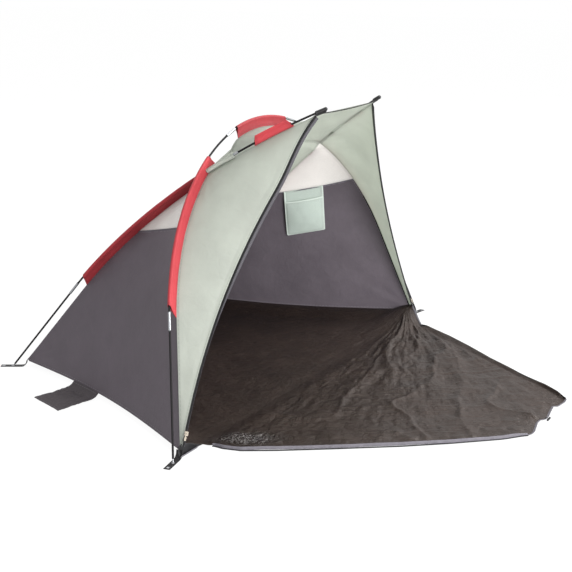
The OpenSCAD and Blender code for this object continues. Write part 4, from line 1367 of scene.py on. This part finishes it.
def tuck_under(shell, trim, tints):
    """Tucks the sheet under below the left zip's foot, with the end of its binding along the ground."""
    start, end, bound = -966, -802, 19  # its ends across the sill, and how many of its rows are bound
    x = np.linspace(start, end, 29)[:, None]
    v = np.linspace(0, 1, 9)[None, :]
    ground = np.stack([x, shell.sill + 1 + 0 * x, 1.4 + 0 * x], -1)
    lip = np.stack([x, shell.sill - 1 + 0 * x, sill_rise(x)], -1)
    tuck = mix(ground, lip, v[..., None])
    tuck[..., 1] += 5 * np.sin(math.pi * v) * noise(x / 30, v * 2, 78)
    # the tucked sheet takes the webbing's black: painted shade, as it lies in the shade under the flap's
    # raised corner
    hang(
        "left_tuck_cloth", tuck, trim.thick / MM, webbing(tints), "webbing", held="folded",
        rests_on=["groundsheet_cloth"],
    )
    line = ground[:bound, 0] + np.array([0, -6, 4.5])
    lean = np.array([0, -0.6, 0.8])
    sew("left_tuck_binding", line, lean, band(*TUCK_BINDING), grosgrain(tints), "zip_tape")


class SHELTER_OT_front_flap(ShelterOperator, bpy.types.Operator):
    """Lays the front flap out from the sill in folds that fan from its right corner, with its bound edges"""

    bl_idname = "shelter.front_flap"
    bl_label = "Front Flap"

    def execute(self, context):
        shell, trim, tints = panel_values(context)
        flap = Flap(shell, trim)
        grid = flap.grid(240, 190)
        obj = hang(
            "front_flap_cloth", grid, trim.thick / MM, floor_cloth(tints), "floor_sheet", "front_flap",
            held="gathered", rests_on=["floor"], body=None,
        )
        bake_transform(obj)
        bind_flap(grid, tints)
        hold_toggle(grid, tints)
        tuck_under(shell, trim, tints)
        return {"FINISHED"}


class SHELTER_OT_zips(ShelterOperator, bpy.types.Operator):
    """Sews a zip tape, its coil and a folded binding along each front edge, and the binding over the top"""

    bl_idname = "shelter.zips"
    bl_label = "Zips and Bindings"

    def execute(self, context):
        shell, trim, tints = panel_values(context)
        steps = np.linspace(0.0, 1.0, 120)
        inward = np.array([shell.edge_at(t, -1) - shell.edge_at(t) for t in steps])
        # the coil: a flattened helix beside the edge
        coil_set, coil_radius, corners = 3.4, 1.5, 6
        turns = int(shell.edge_r * 2 * shell.edge_half / (trim.pitch / MM))
        places = np.linspace(0.004, 0.99, turns * corners)
        wind = np.arange(turns * corners)[:, None] * (2 * math.pi / corners)
        coil_out = np.array([shell.edge_at(t, 1) - shell.edge_at(t) for t in places])
        coil = np.array([shell.edge_at(t, -coil_set) for t in places])
        coil += coil_radius * (np.cos(wind) * coil_out + np.sin(wind) * shell.edge_z * 0.8)
        nylon = hard_finish("nylon_coil_black", tints.webbing, rough=0.36, grain=1.0)
        tape = np.array([shell.edge_at(t, 1.0) + shell.edge_z * 1.1 for t in steps])
        # the folded binding lies behind the tape: on the left edge on at the foot, and turned to the doorway
        # higher up, and on the right flat along the panel
        folds = {"left": (ease((steps - 0.25) / 0.4)[:, None], 14), "right": (1, 20)}
        for side, (share, wide) in folds.items():
            sew(
                f"{side}_zip_tape_cloth", line_on(side, tape), line_on(side, inward), band(*ZIP_TAPE),
                zip_tape(tints), "zip_tape", f"{side}_zip_tape",
            )
            outline = rope(0.55, 4)
            sew(f"{side}_zip_coil", line_on(side, coil), line_on(side, coil_out), outline, nylon, "zip_tape")
            lean = unit(inward * mix(0.25, 1.0, share) + shell.edge_z * mix(1.0, 0.25, share))
            lie = np.array([shell.edge_at(t, -2.0) + shell.edge_z * 2.6 for t in steps])
            sew(
                f"{side}_edge_binding", line_on(side, lie + (wide / 2 - 1) * lean), line_on(side, lean),
                band(wide, 1.8), edge_tape(tints), "webbing",
            )
        start = shell.roof_seam(shell.tip_seam)
        line = np.array([mix(start, flip(start), t) for t in np.linspace(0.01, 0.99, 40)])
        line[:, 2] -= 5 * np.sin(np.linspace(0, math.pi, 40))
        ahead, outline = np.array([0, -0.85, 0.5]), band(*FRONT_BINDING)
        sew("front_binding_tape", line, ahead, outline, webbing(tints), "webbing", "front_binding")
        return {"FINISHED"}


class SHELTER_OT_pocket(ShelterOperator, bpy.types.Operator):
    """Hangs the sheer inner pocket from the right wall's window seam"""

    bl_idname = "shelter.pocket"
    bl_label = "Inner Pocket"

    def execute(self, context):
        shell, trim, tints = panel_values(context)
        wide, tall = trim.pocket_width / MM, trim.pocket_height / MM
        thick, mouth = 0.5, 60  # of its cloth, and how far below its top the front layer begins
        seam = shell.side_sheet(10, 1, WINDOW_SEAM["right"], 1)[:, 0]
        start, end = flip(mix(seam[1], seam[2], 0.5)), flip(seam[7])
        aim = unit(end - start)
        into = unit(np.array([aim[1], -aim[0], 0]))
        # clear of the wall, and in from the end of its seam
        start = start + into * 6 + aim * 11
        # it leans with the wall, which falls away below its seam
        lean = Matrix.Rotation(trim.pocket_lean, 3, Vector(aim))
        down = np.array(lean @ Vector(-UP))
        into = np.array(lean @ Vector(into))
        u, v = np.linspace(0, 1, 41)[:, None, None], np.linspace(0, 1, 51)[None, :, None]

        def layer(top, bulge, seed):
            flat = start + aim * wide * u + down * mix(top, tall, v)
            belly = np.sin(math.pi * np.clip(v * 0.86 + 0.1, 0, 1)) ** 0.6
            swell = bulge * np.sin(math.pi * u) ** 0.7 * belly
            ruck = 1.2 * noise(u * 5 + 3, v * 6, seed) * np.sin(math.pi * u) * np.sin(math.pi * v)
            return flat + into * (swell + ruck)

        back = layer(0, 0.8, 81)
        front = layer(mouth, trim.pocket_room / MM, 83) + into * 1.4
        for part, grid, nodes in (("back", back, ()), ("front", front, ("inner_pocket",))):
            hang(
                f"pocket_{part}_cloth", grid, thick, sheer_cloth(tints), "pocket_mesh", *nodes,
                held="hung", rests_on=["right_window_seam"],
            )
        # doubled cloth round the edges and along the mouth
        hem_look = coated_cloth("polyester_hem_pale", linear("#dbe6de"), 3.0, 0.6, fade=0.04)
        hems = {"near": back[-1], "far": back[0], "base": back[:, -1], "mouth": front[:, 0]}
        for edge, line in hems.items():
            side = np.cross(np.gradient(line, axis=0), into)
            sew(f"pocket_{edge}_hem", line + into * 1.2, side, band(*POCKET_HEM), hem_look, "pocket_mesh")
        return {"FINISHED"}


def rounded_run(knots):
    """Distances and heights along a run of (distance, height) knots, with its corners rounded off."""
    along = np.linspace(0, len(knots) - 1, 46)
    far, lift = (np.interp(along, range(len(knots)), column) for column in zip(*knots))
    return far, np.convolve(np.pad(lift, 3, mode="edge"), np.ones(7) / 7, mode="valid")


# Corner webbing, in millimetres: how far it runs out past the pole's foot, where the eyelet sits, and the
# radius of the holes
STRAP_END, EYELET, HOLE = -52, -40, 7.4


class SHELTER_OT_straps(ShelterOperator, bpy.types.Operator):
    """Sews the webbing at the four corners and the pockets that hold the roof poles' tips"""

    bl_idname = "shelter.straps"
    bl_label = "Webbing"

    def execute(self, context):
        shell, trim, tints = panel_values(context)
        look = webbing(tints)
        rise = shell.corner_lift

        def ground_hit(a, b):
            return (a - (b - a) * (a[2] / (b - a)[2])) * [1, 1, 0]

        corners = {
            "front": (ground_hit(shell.hoop_at(0), shell.hoop_at(1)), shell.hem_front),
            "rear": (ground_hit(shell.roof_at(0), shell.roof_at(1)), shell.hem_rear),
        }
        for end, (foot, corner) in corners.items():
            away = (corner - foot) * [1, 1, 0]
            aim, reach = unit(away), np.linalg.norm(away)
            # webbing that lies flat under the pole's foot and turns up to the cloth's corner
            knots = [(STRAP_END, 1.0), (-30, 1.0), (0, 1.0), (reach - rise * 0.62, 1.0)]
            far, lift = rounded_run(knots + [(reach - 5, 12), (reach - 1, rise)])
            line = foot + aim * far[:, None] + UP * lift[:, None]
            across = np.broadcast_to(np.cross(aim, UP), line.shape)
            for side in SIDES:
                obj = sweep(
                    f"{end}_{side}_webbing", line_on(side, line), line_on(side, across),
                    band(trim.strap / MM, 1.8),
                )
                bores(obj, line_on(side, foot), line_on(side, foot + aim * EYELET))
                settle(obj, look, "webbing", f"{end}_{side}_strap")

        # a tip pocket reaches 4 mm past its pole
        tip_end, tip_length, tip_radius, tip_depth = shell.roof_len + 4, 48, 7.0, 15
        tip = sleeve_grid(
            shell.roof_at, shell.roof_out, lambda a: tip_end - tip_length - 0.4 * a,
            lambda a: tip_end - 0.5 * max(a, 0), tip_radius, lambda s: tip_depth, rows=30, seed=11,
            pucker=0.4,
        )
        # the far end is drawn together over the pole's tip
        for k, share in ((-1, 0.25), (-2, 0.72), (-3, 0.93)):
            tip[k] = mix(shell.roof_at(tip_end + 1.4 * (k + 1), 2), tip[k], share)
        for side, nodes in (("left", ("tip_pockets",)), ("right", ())):
            obj = cloth(f"{side}_tip_pocket_webbing", sheet_on(side, tip), 1.6)
            settle(obj, look, "webbing", *nodes)
        return {"FINISHED"}


def bores(obj, *centres):
    """Cuts the round holes that the grommet and the eyelet sit in."""
    for centre in centres:
        bpy.ops.object.select_all(action="DESELECT")
        bpy.ops.mesh.primitive_cylinder_add(
            vertices=48, radius=HOLE * MM, depth=20 * MM, location=Vector(centre * MM)
        )
        cutter = bpy.context.object
        finish_mesh(obj, ("BOOLEAN", {"object": cutter, "operation": "DIFFERENCE", "solver": "EXACT"}))
        bpy.data.objects.remove(cutter)


class SHELTER_OT_side_flaps(ShelterOperator, bpy.types.Operator):
    """Lays the two side flaps that are loaded with sand"""

    bl_idname = "shelter.side_flaps"
    bl_label = "Side Flaps"

    def execute(self, context):
        shell, trim, tints = panel_values(context)
        wide, place = 185, 0.62  # width, and the share of the floor's side at which the flap's middle is
        half = wide / 2 / shell.depth
        a, b = shell.hem(place - half), shell.hem(place + half)
        out = unit(np.array([a[1] - b[1], b[0] - a[0], 0]))
        rise = min(a[2], b[2])
        flat = [(distance, 0.6) for distance in (40, 90, 140, 190)]
        far, lift = rounded_run([(1.2, rise), (16, rise * 0.4)] + flat)
        hem = np.array([shell.hem(place + half * k) for k in np.linspace(-1, 1, 61)])
        grid = (hem * [1, 1, 0])[:, None] + out * far[None, :, None] + UP * lift[None, :, None]
        s, t = spans(grid)
        wave = np.abs(noise(s / 34, t / 60, 91)) + 0.5 * np.abs(noise(s / 15, t / 22, 92))
        grid[..., 2] += 5.0 * wave * ease(t / 40) * ease((t[:, -1:] - t + 8) / 20)
        # the flaps' cloth is painted darker than the walls': painted shade
        for side in SIDES:
            hang(
                f"{side}_side_flap_cloth", sheet_on(side, grid), trim.thick / MM, flap_cloth(tints),
                "wall_cloth", f"{side}_side_flap", held="laid", rests_on=[f"{side}_wall_cloth"],
                body=f"{side}_side_flap",
            )
        return {"FINISHED"}


def seen_directly(tree):
    """1 for rays from the camera and those that gloss or glass sends on, and 0 for the rest."""
    rays = node(tree, "LightPath").node.outputs
    straight, glossy, clear = (rays[f"Is {kind} Ray"] for kind in ("Camera", "Glossy", "Transmission"))
    either = node(tree, "Math", {0: straight, 1: glossy}, operation="MAXIMUM")
    return node(tree, "Math", {0: either, 1: clear}, operation="MAXIMUM")


def stand(data, place, target):
    """Puts a lamp or a camera at its place, turned to its target."""
    obj = bpy.data.objects.new(data.name, data)
    obj.location = place
    obj.rotation_euler = (Vector(target) - obj.location).to_track_quat("-Z", "Y").to_euler()
    bpy.context.scene.collection.objects.link(obj)
    return obj


class SHELTER_OT_stage(ShelterOperator, bpy.types.Operator):
    """Sets the pale floor, the soft studio light and the camera at the photograph's angle"""

    bl_idname = "shelter.stage"
    bl_label = "Stage"

    def execute(self, context):
        scene = context.scene
        scene.view_settings.view_transform = "Standard"
        bpy.ops.object.select_all(action="DESELECT")
        bpy.ops.mesh.primitive_plane_add(size=60, location=(0, 0, -0.0005))
        floor = context.object
        floor.name = "studio_floor"
        paint = bpy.data.materials.new("matt_white_paint")
        paint.use_nodes = True
        tree = paint.node_tree
        tree.nodes.clear()
        matt = node(tree, "BsdfDiffuse", {"Color": (0.45, 0.45, 0.45, 1)})
        white = node(tree, "Emission", {"Color": (1, 1, 1, 1), "Strength": 1.18})
        # a fifth of the paint shows, so that the floor keeps the object's shadow
        seen = seen_directly(tree)
        share = node(tree, "Math", {0: seen, 1: 0.8}, operation="MULTIPLY")
        both = node(tree, "MixShader", {0: share, 1: matt, 2: white})
        node(tree, "OutputMaterial", {"Surface": both})
        floor.data.materials.append(paint)

        world = bpy.data.worlds.new("studio")
        world.use_nodes = True
        scene.world = world
        tree = world.node_tree
        tree.nodes.clear()
        soft, clear = (
            node(tree, "Background", {"Color": (1, 1, 1, 1), "Strength": strength})
            for strength in (0.58, 1.0)
        )
        both = node(tree, "MixShader", {0: seen_directly(tree), 1: soft, 2: clear})
        node(tree, "OutputWorld", {"Surface": both})

        # each lamp's place in metres, its width and its power in watts
        lamps = {
            "doorway_lamp": ((-2.1, -4.7, 1.4), 3.0, 330),
            "right_lamp": ((3.4, -4.0, 3.6), 3.0, 390),
            "top_lamp": ((1.2, 0.8, 4.6), 4.0, 110),
            "left_lamp": ((-4.4, 1.2, 3.4), 3.0, 20),
        }
        for name, (place, across, power) in lamps.items():
            lamp = bpy.data.lights.new(name, "AREA")
            lamp.shape, lamp.size, lamp.energy = "DISK", across, power
            stand(lamp, place, (0, -0.2, 0.4))

        # fitted to the photograph: focal length in millimetres, and place and target in metres
        lens = bpy.data.cameras.new("photo_camera")
        lens.sensor_width, lens.lens = 36, 67.96
        scene.camera = stand(lens, (-3.737, -2.726, 1.680), (0.086, -0.378, 0.339))
        return {"FINISHED"}


class SHELTER_PT_build(bpy.types.Panel):
    """Lists the steps that dress the frame, in their order"""

    bl_idname = "SHELTER_PT_build"
    bl_label = "Beach Shelter"
    bl_space_type = "VIEW_3D"
    bl_region_type = "UI"
    bl_category = "Shelter"

    def draw(self, context):
        for step in STEPS:
            self.layout.operator(step.bl_idname)
        for key in GROUPS:
            group = getattr(context.scene, key)
            box = self.layout.box()
            for value in group.__annotations__:
                box.prop(group, value)


GROUPS = {"shelter_frame": ShelterFrame, "shelter_cloth": ShelterCloth, "shelter_colours": ShelterColours}
STEPS = (
    SHELTER_OT_stage,
    SHELTER_OT_frame,
    SHELTER_OT_sleeves,
    SHELTER_OT_walls,
    SHELTER_OT_front_panels,
    SHELTER_OT_roof,
    SHELTER_OT_groundsheet,
    SHELTER_OT_front_flap,
    SHELTER_OT_zips,
    SHELTER_OT_pocket,
    SHELTER_OT_straps,
    SHELTER_OT_side_flaps,
)
KINDS = (*GROUPS.values(), *STEPS, SHELTER_PT_build)


def register():
    for kind in KINDS:
        bpy.utils.register_class(kind)
    for key, group in GROUPS.items():
        setattr(bpy.types.Scene, key, bpy.props.PointerProperty(type=group))


def unregister():
    for key in GROUPS:
        delattr(bpy.types.Scene, key)
    for kind in reversed(KINDS):
        bpy.utils.unregister_class(kind)


def main():
    register()
    bpy.ops.object.select_all(action="DESELECT")
    for step in STEPS:
        group, name = step.bl_idname.split(".")
        getattr(getattr(bpy.ops, group), name)()


if __name__ == "__main__":
    main()
